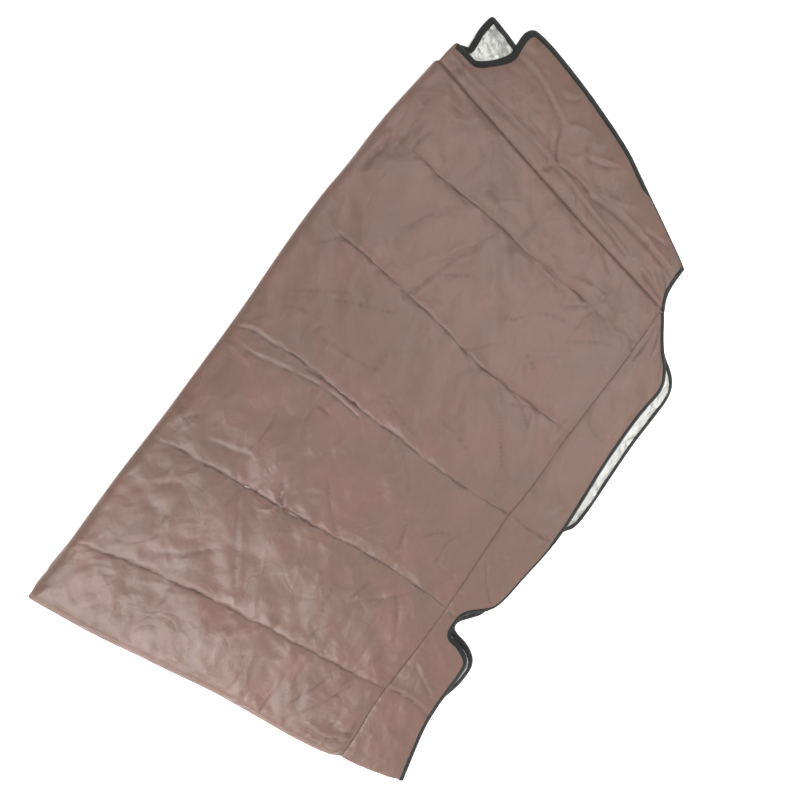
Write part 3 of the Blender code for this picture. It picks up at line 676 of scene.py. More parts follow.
def foilCrinkle(x, y, seed):
    # the small hard folds of a thin silver lining, from 0 to about 2
    fine = ripple(x * 0.7 + y * 0.7, y * 0.7 - x * 0.7, foilSize / 2, seed + 1, 3.2)
    return np.abs(ripple(x, y, foilSize, seed)) * 1.4 + np.abs(fine) * 0.7


def refine(grid):    # doubles a grid, with a soft curve through its points
    for axis in (0, 1):
        grid = np.swapaxes(grid, 0, axis)
        padded = np.concatenate([2 * grid[:1] - grid[1:2], grid, 2 * grid[-1:] - grid[-2:-1]])
        middle = (padded[1:-2] + padded[2:-1]) * 0.5625 - (padded[:-3] + padded[3:]) * 0.0625
        out = np.empty((2 * len(grid) - 1, *grid.shape[1:]))
        out[0::2], out[1::2] = grid, middle
        grid = np.swapaxes(out, 0, axis)
    return grid


def swollen(points, held, look):    # a loose cloth pressed up from below, held along its seams
    rows, columns = held.shape
    cloth = meshPiece("loose_cloth", points.reshape(-1, 3), gridFaces(rows, columns), [])
    group = cloth.vertex_groups.new(name="held")
    for value in np.unique(held):
        group.add([int(i) for i in np.flatnonzero(held.ravel() == value)], float(value), "REPLACE")
    modifier = cloth.modifiers.new("cloth", "CLOTH")
    for name, value in look["cloth"].items():
        setattr(modifier.settings, name, value)
    modifier.settings.vertex_group_mass = "held"
    modifier.collision_settings.use_collision = False
    modifier.collision_settings.use_self_collision = False
    scene = bpy.context.scene
    gravity = scene.gravity.copy()
    scene.gravity = (0, 0, look["press"])
    modifier.point_cache.frame_end = look["steps"]
    for step in range(1, look["steps"] + 1):
        scene.frame_set(step)
    shaped = cloth.evaluated_get(bpy.context.evaluated_depsgraph_get())
    moved = np.zeros(rows * columns * 3, np.float32)
    shaped.data.vertices.foreach_get("co", moved)
    bpy.data.objects.remove(cloth)
    scene.gravity = gravity
    scene.frame_set(1)
    return moved.reshape(rows, columns, 3).astype(float)


def panelBase(plan, look):
    seam = nearLine(plan, edges["sideSeam"])[0]
    head = nearLine(plan, edges["headSeam"])[0]
    foot = nearLine(plan, edges["footLine"])[0]
    fold = nearLine(plan, edges["foldLine"])[0]
    base = np.minimum(look["full"], look["seamEdge"] + look["seamSlope"] * seam)
    base -= (look["full"] - look["headEdge"]) * np.exp(-(head / look["headDip"]) ** 2)
    base -= (look["full"] - look["footEdge"]) * np.exp(-foot / look["footDip"])
    base -= (look["full"] - look["foldEdge"]) * np.exp(-(fold / look["foldDip"]) ** 1.4)
    return base, seam, head, foot, fold


def gathers(far, place, reach, height, size, seed):    # tiny pleats square to a seam
    pleats = ripple(place, far * 0, size, seed) + 0.5 * ripple(place, far, size * 0.45, seed + 1, 5)
    return height * pleats * np.exp(-far / reach) * smooth(far, 0.0, 0.006)


def between(line, low, high, start, end):
    # the stretch of an upright edge from one place to another
    inside = (line[:, 1] > low + 1e-5) & (line[:, 1] < high - 1e-5)
    return np.vstack([[start], line[inside], [end]])


def panelPlan(look):
    # rows crowd together at each packing fold, so that it can be crisp
    lines = [edges["footLine"]]
    for fold in packing["folds"]:
        line = fold["line"].copy()
        for end, edge in ((0, "foldLine"), (-1, "sideSeam")):
            line[end, 0] = np.interp(line[end, 1], edges[edge][:, 1], edges[edge][:, 0])
        lines.append(line)
    lines.append(edges["headSeam"])
    grid = []
    for low, high in zip(lines[:-1], lines[1:]):
        cells = max(6, int(round((high[:, 1].mean() - low[:, 1].mean()) / look["rowStep"])))
        even = np.linspace(0, 1, cells + 1)
        shares = even - np.sin(2 * math.pi * even) / (2 * math.pi) * look["crowding"]
        left = between(edges["foldLine"], low[0, 1], high[0, 1], low[0], high[0])
        right = between(edges["sideSeam"], low[-1, 1], high[-1, 1], low[-1], high[-1])
        part = patch(left, right, low, high, look["columns"], cells + 1, shares)
        grid.append(part if not grid else part[1:])
    return np.vstack(grid)


def makeUpperPanel(look):
    coarse = panelPlan(look)
    base, seam, head, foot, fold = panelBase(coarse, look)
    x, y = coarse[..., 0], coarse[..., 1]
    moved = np.zeros((*base.shape, 3))
    held = np.full(base.shape, look["hold"])
    for number, fold in enumerate(packing["folds"]):
        far = np.abs(y - np.interp(x, fold["line"][:, 0], fold["line"][:, 1]))
        grip = 0.55 + 0.45 * (ripple(x, y, 0.05, 60 + number) > -0.1)
        held = np.where(far < 0.004, np.maximum(held, np.round(grip, 2)), held)
    held[0], held[-1], held[:, 0], held[:, -1] = 1, 1, 1, 1
    start = np.dstack([coarse, base + 0.0006 * ripple(x, y, 0.05, 5, 2.0)])
    moved = swollen(start, held, look) - start
    print("upper panel cloth: rises", moved[..., 2].min().round(4), moved[..., 2].max().round(4))
    plan = refine(coarse)
    moved = refine(moved)
    base, seam, head, foot, fold = panelBase(plan, look)
    x, y = plan[..., 0], plan[..., 1]
    top = moved[..., 2]
    limit = max(np.percentile(np.abs(top), 99.0), 1e-6)
    top = np.tanh(top / limit) * min(limit, look["swell"]) if limit > 1e-5 else top
    inside = smooth(np.minimum(np.minimum(seam, head), np.minimum(foot, fold)), 0, 0.03)
    top = base + top + inside * softWaves(x, y, look["waves"], look["waveSize"], 3)
    top += inside * softWaves(y, x, look["ripples"], look["rippleSize"], 7)
    # painted shade lines along the side and head seams, where the panel steps down
    shadeMarks = 0.8 * np.exp(-(seam / look["seamDark"]) ** 2) + 0.7 * np.exp(-(head / look["seamDark"]) ** 2)
    pressed = packedFolds(x, y, shadeMarks)
    pressed += addFolds(x, y, placedCreases, 50, look["placedBoost"], shadeMarks)
    pressed += addFolds(x, y, strayCreases, 90, look["strayBoost"], shadeMarks)
    top += pressed * smooth(head, 0.0, 0.012)
    for far, edge, reach, height, size, seed in ((seam, "sideSeam", 0.034, 0.0030, 0.017, 71),
                                                 (foot, "footLine", 0.022, 0.0010, 0.022, 73),
                                                 (fold, "foldLine", 0.035, 0.0012, 0.030, 75)):
        top += gathers(far, nearLine(plan, edges[edge])[2], reach, height, size, seed)
    ceiling = 0.0341 + 0.15 * np.minimum(seam, np.abs(turnY - y))    # low beside the hinges
    top = np.minimum(np.minimum(top, ceiling), look["ceiling"])
    under = liningUnder - foilCrinkle(x, y, 81) * look["crinkle"]
    under = np.maximum(under, look["lowest"])
    plan = plan + moved[..., :2] * inside[..., None]

    def rim(flat, out, upper, lower):
        onFold = smooth(0.02 - nearLine(flat, edges["foldLine"])[0], 0, 0.019)
        onFold = onFold * smooth(flat[:, 1], 0.055, 0.085)
        onFoot = smooth(0.02 - nearLine(flat, edges["footLine"])[0], 0, 0.019)
        spineShape = [(0.55, 0.0285), (0.90, 0.0245), (1.0, 0.0195), (1.0, 0.0165), (0.88, 0.0139),
                      (0.55, 0.0139), (0.40, 0.0160), (0.25, 0.0190)]
        plainShape = [(0.45, 0.15), (0.80, 0.28), (1.0, 0.42), (1.0, 0.55), (0.9, 0.68), (0.7, 0.80),
                      (0.5, 0.89), (0.3, 0.95)]
        bulge = look["bulge"] + look["footBulge"] * onFoot
        rings = []
        for (reach, z), (plainReach, drop) in zip(spineShape, plainShape):
            far = onFold * reach * look["spine"] + (1 - onFold) * plainReach * bulge
            level = onFold * z + (1 - onFold) * (upper + (lower - upper) * drop)
            rings.append(np.column_stack([flat + out * far[:, None], level]))
        return rings

    piece = slab("upper_panel", plan, top, under, [mats["outerCloth"], mats["silverCloth"]], rim)
    storeShadeMask(piece, shadeMarks)
    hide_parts("top_outer_shell", "top_insulation", "top_lining", "fold_strip")
    return piece


upperPiece = makeUpperPanel(upperPanel)
print("upper panel:", len(upperPiece.data.polygons), "faces")


# the layer that lies on the floor

lowerLayer = {
    "columns": 170, "rows": 262,
    "edgeTop": 0.0088, "edgeUnder": 0.0030, "taper": 0.020, "underTaper": 0.012,
    "footDrop": 0.0045, "footTaper": 0.010,
    "crinkle": 0.0016, "bareCrinkle": 0.0016,    # the silver crinkles more where it lies bare
    "highest": 0.0170, "bareRise": 0.0015, "wave": 0.0004, "waveSize": 0.06,
    "spine": 0.0060, "bulge": 0.0026, "slitEnd": 0.106,
}


def boundEdge(plan):
    return np.minimum(nearLine(plan, edges["bottomSide"])[0], nearLine(plan, edges["bottomHead"])[0])


def lowerTop(plan, look=lowerLayer):
    x, y = plan[..., 0], plan[..., 1]
    edge = boundEdge(plan)
    full = liningTop - look["edgeTop"]
    top = look["edgeTop"] + full * (1 - np.exp(-edge / look["taper"]))
    foot = nearLine(plan, edges["footLine"])[0]
    top -= look["footDrop"] * np.exp(-foot / look["footTaper"])
    crinkle = foilCrinkle(x, y, 91)
    bare = smooth(x, 1.035, 1.06) * smooth(y, 0.84, 0.90) + smooth(y, 1.62, 1.66)
    top += crinkle * (look["crinkle"] + bare * look["bareCrinkle"]) * smooth(edge, 0.004, 0.02)
    return np.minimum(top, look["highest"] + look["bareRise"] * bare)


def lowerUnder(plan, look=lowerLayer):
    edge = boundEdge(plan)
    under = look["edgeUnder"] * np.exp(-edge / look["underTaper"])
    return under + look["wave"] * np.abs(ripple(plan[..., 0], plan[..., 1], look["waveSize"], 93))


def makeLowerLayer(look):
    foldSide = np.vstack([[(0.003, 0.054), (0.003, 0.11)], edges["foldLine"][40:] + [0.002, 0]])
    foldSide = foldSide[np.argsort(foldSide[:, 1])]
    foldSide = np.vstack([foldSide[foldSide[:, 1] < 1.55], [(0.022, 1.59), (0.024, 1.622)]])
    footSide = edges["footLine"] + [0.003, 0.002]
    footSide = np.vstack([[(0.003, 0.054)], footSide[4:], [(0.95, 0.008), (1.098, 0.006)]])
    plan = patch(foldSide, edges["bottomSide"], footSide, edges["bottomHead"],
                 look["columns"], look["rows"])
    top, under = lowerTop(plan), lowerUnder(plan)

    def rim(flat, out, upper, lower):
        onFold = smooth(0.02 - np.abs(flat[:, 0] - 0.002), 0, 0.019) * smooth(1.60 - flat[:, 1], 0, 0.03)
        slit = smooth(flat[:, 1], look["slitEnd"], look["slitEnd"] + 0.012)
        onFold = onFold * slit
        bound = smooth(0.02 - boundEdge(flat), 0, 0.019)
        bulge = look["bulge"] * (1 - bound) * np.maximum(slit, flat[:, 0] > 0.03)
        shares = [(0.45, 0.10), (0.85, 0.26), (1.0, 0.5), (0.85, 0.74), (0.45, 0.92)]
        return [np.column_stack([flat + out * (reach * (bulge + onFold * look["spine"]))[:, None],
                                 upper + (lower - upper) * drop]) for reach, drop in shares]

    piece = slab("lower_layer", plan, top, under, [mats["silverCloth"], mats["outerCloth"]], rim, 1)
    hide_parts("bottom_outer_shell", "bottom_insulation", "bottom_lining")
    return piece


lowerPiece = makeLowerLayer(lowerLayer)
print("lower layer:", len(lowerPiece.data.polygons), "faces")


# the flap along the open side

sideFlap = {
    "columns": 56, "rows": 300, "crowding": 1.35,    # finer beside the seam it turns on
    "root": 0.0280, "full": 0.0330, "edgeThick": 0.0030, "edgeUnder": 0.0178,
    "topTaper": 0.045, "crinkle": 0.0008, "footDrop": 0.0055, "foldBoost": 2.0,
    "gather": (0.020, 0.0012, 0.014),           # reach, height and size of the pleats by the seam
    "waves": 0.0030, "waveSize": 0.070, "tuck": 0.006,
}
flapFolds = creased([
    (2.0, 4.7, 1.4, (0.905, 1.50), (0.86, 1.46), (0.80, 1.44)),
    (2.2, 5.4, 1.5, (0.93, 1.505), (0.955, 1.45), (0.96, 1.40)),
    (2.0, 5.4, 1.2, (0.915, 1.49), (0.925, 1.42), (0.92, 1.36)),
    (1.4, 6.8, 1.0, (0.945, 1.49), (1.00, 1.43), (1.04, 1.37)),
    (-1.4, 8.8, 0.0, (0.90, 1.31), (0.94, 1.27), (1.00, 1.25)),
    (1.2, 6.8, 0.8, (0.90, 1.16), (0.95, 1.13), (1.03, 1.14)),
    (-1.6, 9.9, 0.0, (0.90, 1.02), (0.96, 0.95), (1.04, 0.92)),
    (1.8, 5.4, 1.3, (0.892, 0.812), (0.96, 0.806), (1.055, 0.814)),
    (-1.4, 8.8, 0.0, (0.93, 0.72), (0.99, 0.66), (1.04, 0.64)),
    (1.3, 6.1, 0.9, (0.91, 0.66), (0.97, 0.60), (1.02, 0.57)),
    (1.8, 5.4, 1.2, (0.90, 0.50), (0.925, 0.49), (0.950, 0.485)),
    (-1.5, 8.8, 0.0, (0.90, 0.42), (0.95, 0.40), (1.03, 0.34)),
    (1.3, 6.1, 0.9, (0.90, 0.33), (0.96, 0.30), (1.04, 0.25)),
    (2.6, 6.1, 2.0, (0.892, 0.232), (0.96, 0.236), (1.033, 0.221), (1.07, 0.20)),
    (-1.2, 9.9, 0.0, (0.90, 0.16), (0.97, 0.13), (1.06, 0.10)),
])
headFolds = creased([
    (1.5, 4.1, 1.1, (0.03, 1.588), (0.121, 1.580), (0.195, 1.586), (0.284, 1.590), (0.393, 1.590),
     (0.513, 1.575), (0.70, 1.562)),
    (2.0, 5.4, 1.5, (0.393, 1.593), (0.36, 1.640), (0.35, 1.675)),
    (-1.8, 6.8, 0.0, (0.393, 1.593), (0.425, 1.640), (0.44, 1.68)),
    (2.0, 5.4, 1.5, (0.393, 1.593), (0.46, 1.612), (0.52, 1.605)),
    (-1.6, 5.4, 0.0, (0.30, 1.61), (0.35, 1.605), (0.393, 1.593)),
    (1.6, 4.7, 1.0, (0.393, 1.593), (0.375, 1.565), (0.37, 1.548)),
    (2.2, 6.8, 1.8, (0.513, 1.599), (0.60, 1.618), (0.684, 1.624), (0.78, 1.622), (0.866, 1.614)),
    (-1.6, 8.1, 0.0, (0.56, 1.63), (0.62, 1.660), (0.66, 1.69)),
    (1.4, 5.4, 1.2, (0.146, 1.712), (0.247, 1.706), (0.30, 1.69), (0.357, 1.674)),
    (1.3, 8.1, 1.0, (0.30, 1.72), (0.34, 1.74), (0.352, 1.775)),
    (-2.2, 8.8, 0.0, (0.357, 1.674), (0.37, 1.70), (0.42, 1.72)),
    (1.3, 6.8, 1.0, (0.44, 1.66), (0.50, 1.68), (0.55, 1.72)),
    (2.2, 4.7, 1.6, (0.767, 1.563), (0.84, 1.555), (0.89, 1.548)),
    (-2.0, 5.4, 0.0, (0.80, 1.585), (0.85, 1.57), (0.90, 1.54)),
    (2.0, 5.4, 1.4, (0.83, 1.61), (0.87, 1.59), (0.888, 1.56)),
    (-1.3, 9.9, 0.0, (0.20, 1.60), (0.23, 1.64), (0.24, 1.69)),
    (1.5, 5.4, 1.2, (0.05, 1.555), (0.07, 1.585), (0.06, 1.62)),
    (1.3, 8.1, 1.0, (0.70, 1.64), (0.76, 1.66), (0.82, 1.672)),
])


def flapUnder(edge, look):    # the lining drops to the tape at a flap's edge
    return liningUnder - (liningUnder - look["edgeUnder"]) * np.exp(-edge / 0.035)


def flapBody(edge, look):
    thick = look["full"] - liningUnder
    return look["edgeThick"] + (thick - look["edgeThick"]) * (1 - np.exp(-edge / look["topTaper"]))


def sideUnder(plan, look=sideFlap):
    x, y = plan[..., 0], plan[..., 1]
    edge = nearLine(plan, edges["flapSide"])[0]
    under = flapUnder(edge, look) + 0.0008 * (1 - smooth(x, seamX, seamX + 0.012))
    return under - look["crinkle"] * foilCrinkle(x, y, 101) * smooth(edge, 0.0, 0.03)


def sideTop(plan, look=sideFlap):
    x, y = plan[..., 0], plan[..., 1]
    edge = nearLine(plan, edges["flapSide"])[0]
    seam = x - np.interp(y, edges["sideSeam"][:, 1], edges["sideSeam"][:, 0])
    foot = np.maximum(y - 0.006, 0)
    body = flapBody(edge, look)
    body -= (look["full"] - look["root"]) * np.exp(-np.abs(seam) / 0.010)
    body -= look["footDrop"] * np.exp(-foot / 0.012) * smooth(edge, 0.0, 0.03)
    inside = smooth(edge, 0.008, 0.035)
    under = flapUnder(edge, look)
    top = under + body + inside * softWaves(x, y, look["waves"], look["waveSize"], 13)
    top += inside * addFolds(x, y, flapFolds, 110, look["foldBoost"])
    top += inside * gathers(np.abs(seam), y, *look["gather"], 103)
    top += 0.0005 * ripple(y, x * 0, 0.02, 105) * np.exp(-edge / 0.02)
    return np.clip(top, under + 0.0022, np.maximum(0.0338 + 0.05 * np.abs(seam), under + 0.003))


def flapPiece(name, plan, top, under, folds, seed):
    piece = slab(name, plan, top, under, [mats["outerCloth"], mats["silverCloth"]], softRim(0.0012))
    shadeMarks = np.zeros(plan.shape[:2])
    # painted shade along the flap's creases, for its finish to darken
    addFolds(plan[..., 0], plan[..., 1], folds, seed, shadeMarks=shadeMarks)
    storeShadeMask(piece, shadeMarks)
    return piece


def makeSideFlap(look):
    seam = edges["sideSeam"]
    root = seam - [look["tuck"], 0]
    root = root[root[:, 1] > 0.009]
    foot = np.array([root[0], (0.95, 0.005), (1.06, 0.010), edges["flapSide"][0]])
    head = np.array([root[-1], (0.905, 1.531), edges["flapSide"][-1]])
    plan = patch(root, edges["flapSide"], foot, head, look["columns"], look["rows"],
                 crowding=look["crowding"])
    piece = flapPiece("side_flap_cloth", plan, sideTop(plan), sideUnder(plan), flapFolds, 110)
    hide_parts("side_flap_shell", "side_flap_padding", "side_flap_lining")
    return piece


sidePiece = makeSideFlap(sideFlap)
print("side flap:", len(sidePiece.data.polygons), "faces")


# the neck band and the head flap, sewn as one

headFlap = {
    "columns": 190, "rows": 64,
    "root": 0.0270, "full": 0.0345, "edgeThick": 0.0030, "edgeUnder": 0.0178,
    "topTaper": 0.040, "crinkle": 0.0010, "foldDrop": 0.0040, "foldBoost": 2.2,
    "gather": (0.020, 0.0012, 0.014),
    "waves": 0.0032, "waveSize": 0.080, "tuck": 0.010,
}


bandEnd = int(len(edges["headLeft"]) * 0.24)    # the band's own short end comes before it


def headEdge(plan):
    far = nearLine(plan, edges["headTop"])[0]
    far = np.minimum(far, nearLine(plan, edges["headSide"])[0])
    return np.minimum(far, nearLine(plan, edges["headLeft"][bandEnd:])[0])


def headUnder(plan, look=headFlap):
    x, y = plan[..., 0], plan[..., 1]
    edge = headEdge(plan)
    seam = y - np.interp(x, edges["headSeam"][:, 0], edges["headSeam"][:, 1])
    under = flapUnder(edge, look) + 0.0009 * (1 - smooth(seam, -0.004, 0.006))
    return under - look["crinkle"] * foilCrinkle(x, y, 121) * smooth(edge, 0, 0.03)


def headTop(plan, look=headFlap):
    x, y = plan[..., 0], plan[..., 1]
    edge = headEdge(plan)
    seam = y - np.interp(x, edges["headSeam"][:, 0], edges["headSeam"][:, 1])
    foldSide = np.maximum(x - 0.018, 0)
    body = flapBody(edge, look)
    body -= (look["full"] - look["root"]) * np.exp(-(np.maximum(seam, 0) / 0.005) ** 1.5)
    body -= look["foldDrop"] * np.exp(-foldSide / 0.008) * (1 - smooth(y, 1.60, 1.63))
    inside = smooth(edge, 0.008, 0.035)
    under = flapUnder(edge, look)
    top = under + body + inside * softWaves(x, y, look["waves"], look["waveSize"], 23)
    top += inside * addFolds(x, y, headFolds, 130, look["foldBoost"])
    top += gathers(np.abs(seam), x, *look["gather"], 123)
    top += 0.0005 * ripple(x, y * 0, 0.02, 125) * np.exp(-edge / 0.02)
    ceiling = 0.0340 + 0.10 * np.abs(turnY - y)
    return np.clip(top, under + 0.0022, np.maximum(ceiling, under + 0.003))


def makeHeadFlap(look):
    foot = edges["headSeam"] - [0, look["tuck"]]
    left = np.vstack([foot[:1], edges["headLeft"][4:]])
    side = np.vstack([foot[-1:], [(0.912, 1.525)], edges["headSide"]])
    plan = patch(left, side, foot, edges["headTop"], look["columns"], look["rows"])
    piece = flapPiece("head_cloth", plan, headTop(plan), headUnder(plan), headFolds, 130)
    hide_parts("neck_band_shell", "neck_band_padding", "head_flap_shell",
                "head_flap_padding", "head_flap_lining")
    return piece


headPiece = makeHeadFlap(headFlap)
print("head flap:", len(headPiece.data.polygons), "faces")


# black tape bound over the raw edges

tapes = {
    "flapWidth": 0.0125, "lowerWidth": 0.0145, "headWidth": 0.0150, "neckWidth": 0.0155,
    "waist": (0.53, 0.58, 0.78, 0.84), "waistTurn": 0.5,     # where the side tape rolls under, and how much
    "corner": (0.63, 0.68, 1.655, 1.672), "cornerTurn": 0.85,
}


def sideShown(line, look=tapes):
    start, full, fading, end = look["waist"]
    y = line[:, 1]
    return 1 - look["waistTurn"] * smooth(y, start, full) * (1 - smooth(y, fading, end))


def headShown(line, look=tapes):
    start, full, low, high = look["corner"]
    return 1 - look["cornerTurn"] * smooth(line[:, 0], start, full) * smooth(line[:, 1], low, high)


def makeTapes(look):
    side = tape("side_flap_tape", edges["flapSide"], sideTop, sideUnder, look["flapWidth"],
                mats["edgeTape"], turned=sideShown)
    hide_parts("side_flap_binding")
    lower = tape("lower_side_tape", edges["bottomSide"], lowerTop, lowerUnder,
                 look["lowerWidth"], mats["edgeTape"])
    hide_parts("bottom_side_binding")
    lowerHead = tape("lower_head_tape", edges["bottomHead"][::-1], lowerTop, lowerUnder,
                     look["headWidth"], mats["edgeTape"])
    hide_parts("bottom_head_binding")
    around = np.vstack([edges["headSide"], edges["headTop"][::-1], edges["headLeft"][::-1][:-bandEnd]])
    around = around[np.concatenate([[True], np.hypot(*np.diff(around, axis=0).T) > 1e-5])]
    head = tape("head_flap_tape", evenly(around, int(lineLength(around) / 0.004)), headTop,
                headUnder, look["neckWidth"], mats["edgeTape"], turned=headShown)
    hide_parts("head_flap_binding", "neck_binding")
    return side, lower, lowerHead, head


sideTape, lowerTape, lowerHeadTape, headTape = makeTapes(tapes)


# hook and loop strips between the layers

strips = {
    "lower": dict(start=(1.0305, 0.05), end=(1.0305, 0.375), wide=0.025),
    "middle": dict(start=(1.0055, 0.55), end=(1.0055, 0.83), wide=0.025),
    "neck": dict(start=(0.9125, 1.41), end=(0.9125, 1.455), wide=0.025),
    "foot": dict(start=(0.045, 0.063), end=(0.845, 0.016), wide=0.020),
    "loopBelow": 0.0004, "hookAbove": 0.0006,   # how far each is sunk in the cloth it is sewn to
}


def strip(name, look, under, over):
    a, b = np.array(look["start"]), np.array(look["end"])
    run = (b - a) / np.hypot(*(b - a))
    out = np.array([run[1], -run[0]]) * look["wide"] / 2
    count = int(np.hypot(*(b - a)) / 0.008)
    middle = a + (b - a) * np.linspace(0, 1, count)[:, None]
    shares = np.linspace(-1, 1, 15)
    plan = middle[:, None] + out[None, None] * shares[None, :, None]
    crown = (1 - np.abs(shares) ** 6)[None, :] * 0.25 + 0.75
    wave = 0.00025 * ripple(plan[..., 0], plan[..., 1], 0.02, 141)
    middleZ = (under + over) / 2
    top = middleZ + (over - middleZ) * crown + wave * 0.4
    low = middleZ - (middleZ - under) * crown + wave * 0.4
    return slab(name, plan[:, ::-1] if np.cross(run, out) > 0 else plan, top, low,
                [mats["hookTape"]] * 2, softRim(0.0006))


stripPieces = {}
for place in ("lower", "middle", "neck", "foot"):
    for kind, node in (("loop", f"{place}_loop_strip"), ("hook", f"{place}_hook_strip")):
        low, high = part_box(node)
        piece = strip(f"{place}_{kind}_tape", strips[place],
                      low.z - (strips["loopBelow"] if kind == "loop" else 0),
                      high.z + (strips["hookAbove"] if kind == "hook" else 0))
        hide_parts(node)
        stripPieces[f"{place}_{kind}"] = piece
print("tapes and strips made")


# the bound slit that the controller plugs into

slit = {"wall": 0.0055, "thinWall": 0.0016, "proud": 0.0030, "depth": 0.012}


def makeSlit(look):
    low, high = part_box("controller_socket")
    rings = []
    wall, proud, depth = look["wall"], look["proud"], look["depth"]
    corners = ((high.y, high.z, 0), (low.y, high.z, 90), (low.y, low.z, 180), (high.y, low.z, 270))
    for grow, x in ((0.0002, low.x + 0.004), (0.0002, low.x - proud * 0.4),
                    (wall * 0.3, low.x - proud), (wall * 0.8, low.x - proud * 0.8),
                    (wall, low.x + depth * 0.3), (wall, low.x + depth)):
        tall = min(grow, look["thinWall"])      # the cloth above and below is thin
        ring = []
        for y, z, start in corners:
            for turn in range(0, 91, 30):
                a = math.radians(start + turn)
                ring.append((x, y + grow * math.cos(a), z + tall * math.sin(a)))
        rings.append(ring)
    count = len(rings[0])
    points = [p for ring in rings for p in ring]
    faces = []
    for k in range(len(rings)):
        m = (k + 1) % len(rings)
        for i in range(count):
            j = (i + 1) % count
            faces.append((k * count + i, m * count + i, m * count + j, k * count + j))
    piece = meshPiece("slit_tape", points, faces, [mats["edgeTape"]])
    layer = piece.data.uv_layers.new(name="tape")
    for loop in piece.data.loops:
        point = piece.data.vertices[loop.vertex_index].co
        layer.data[loop.index].uv = (point.y, point.z + point.x)
    return piece


slitPiece = makeSlit(slit)


# stitches: one small barrel, set along every sewn line

stitching = {
    "pitch": 0.0052, "length": 0.0037, "thick": 0.00075,
    "seamIn": 0.0050, "hemIn": 0.0150, "flapIn": 0.0092, "tapeIn": 0.0100,    # from each edge to its row
}


def stitchTree(material, look):
    tree = bpy.data.node_groups.new("stitch_line", "GeometryNodeTree")
    tree.interface.new_socket(name="Line", in_out="INPUT", socket_type="NodeSocketGeometry")
    for label, value in (("Pitch", look["pitch"]), ("Length", look["length"]), ("Thick", look["thick"])):
        socket = tree.interface.new_socket(name=label, in_out="INPUT", socket_type="NodeSocketFloat")
        socket.default_value = value
    tree.interface.new_socket(name="Stitches", in_out="OUTPUT", socket_type="NodeSocketGeometry")
    given, out = tree.nodes.new("NodeGroupInput"), tree.nodes.new("NodeGroupOutput")
    thick = given.outputs["Thick"]
    curve = addNode(tree, "GeometryNodeMeshToCurve", Mesh=given.outputs["Line"])
    points = addNode(tree, "GeometryNodeCurveToPoints", {"mode": "LENGTH"}, Curve=curve.outputs[0],
                     Length=given.outputs["Pitch"])
    barrel = addNode(tree, "GeometryNodeMeshUVSphere", Segments=6, Rings=4, Radius=0.5)
    size = addNode(tree, "ShaderNodeCombineXYZ", X=thick, Y=thick, Z=given.outputs["Length"])
    shaped = addNode(tree, "GeometryNodeTransform", Geometry=barrel.outputs["Mesh"],
                     Scale=size.outputs[0])
    placed = addNode(tree, "GeometryNodeInstanceOnPoints", Points=points.outputs["Points"],
                     Instance=shaped.outputs[0], Rotation=points.outputs["Rotation"])
    real = addNode(tree, "GeometryNodeRealizeInstances", Geometry=placed.outputs[0])
    thread = addNode(tree, "GeometryNodeSetMaterial", Geometry=real.outputs[0], Material=material)
    feed(tree, thread.outputs[0], out.inputs[0])
    return tree


threadTrees = {name: stitchTree(mats[name], stitching) for name in ("brownThread", "blackThread")}


def stitches(name, lines, thread, look=stitching):
    points, lineEdges = [], []
    for line in lines:
        lineEdges += [(len(points) + i, len(points) + i + 1) for i in range(len(line) - 1)]
        points += [tuple(p) for p in line]
    mesh = bpy.data.meshes.new(name + "_line")
    mesh.from_pydata(points, lineEdges, [])
    guide = bpy.data.objects.new(name + "_line", mesh)
    bpy.context.scene.collection.objects.link(guide)
    modifier = guide.modifiers.new("stitches", "NODES")
    modifier.node_group = threadTrees[thread]
    names = {item.name: item.identifier for item in threadTrees[thread].interface.items_tree
             if item.in_out == "INPUT"}
    modifier[names["Pitch"]] = look["pitch"]
    modifier[names["Length"]] = look["length"]
    modifier[names["Thick"]] = look["thick"]
    bpy.context.view_layer.update()
    shaped = guide.evaluated_get(bpy.context.evaluated_depsgraph_get())
    made = bpy.data.meshes.new_from_object(shaped)
    bpy.data.objects.remove(guide)
    piece = bpy.data.objects.new(name, made)
    bpy.context.scene.collection.objects.link(piece)
    made.polygons.foreach_set("use_smooth", np.ones(len(made.polygons), bool))
    return piece


def inset(line, far):
    line = np.asarray(line, float)
    run = np.gradient(line, axis=0)
    run = run / np.maximum(np.hypot(run[:, 0], run[:, 1]), 1e-9)[:, None]
    moved = line + np.stack([-run[:, 1], run[:, 0]], 1) * far
    keep = np.ones(len(moved), bool)            # drop points that doubled back at a tight corner
    keep[1:] = ((moved[1:] - moved[:-1]) * run[1:]).sum(1) > 0
    return moved[keep]


def laidOn(piece, plan, lift=0.0003, fromAbove=True):    # rests a plan line on a piece's own surface
    tree = BVHTree.FromObject(piece, bpy.context.evaluated_depsgraph_get())
    way = -1 if fromAbove else 1
    laid = []
    for x, y in plan:
        hit = tree.ray_cast(Vector((x + foldX, y + footY, -0.2 * way)), Vector((0, 0, way)))[0]
        if hit is not None:
            laid.append((hit.x, hit.y, hit.z - lift * way))
    return laid


def bothSides(piece, line):
    return [laidOn(piece, line, 0.0002, above) for above in (True, False)]


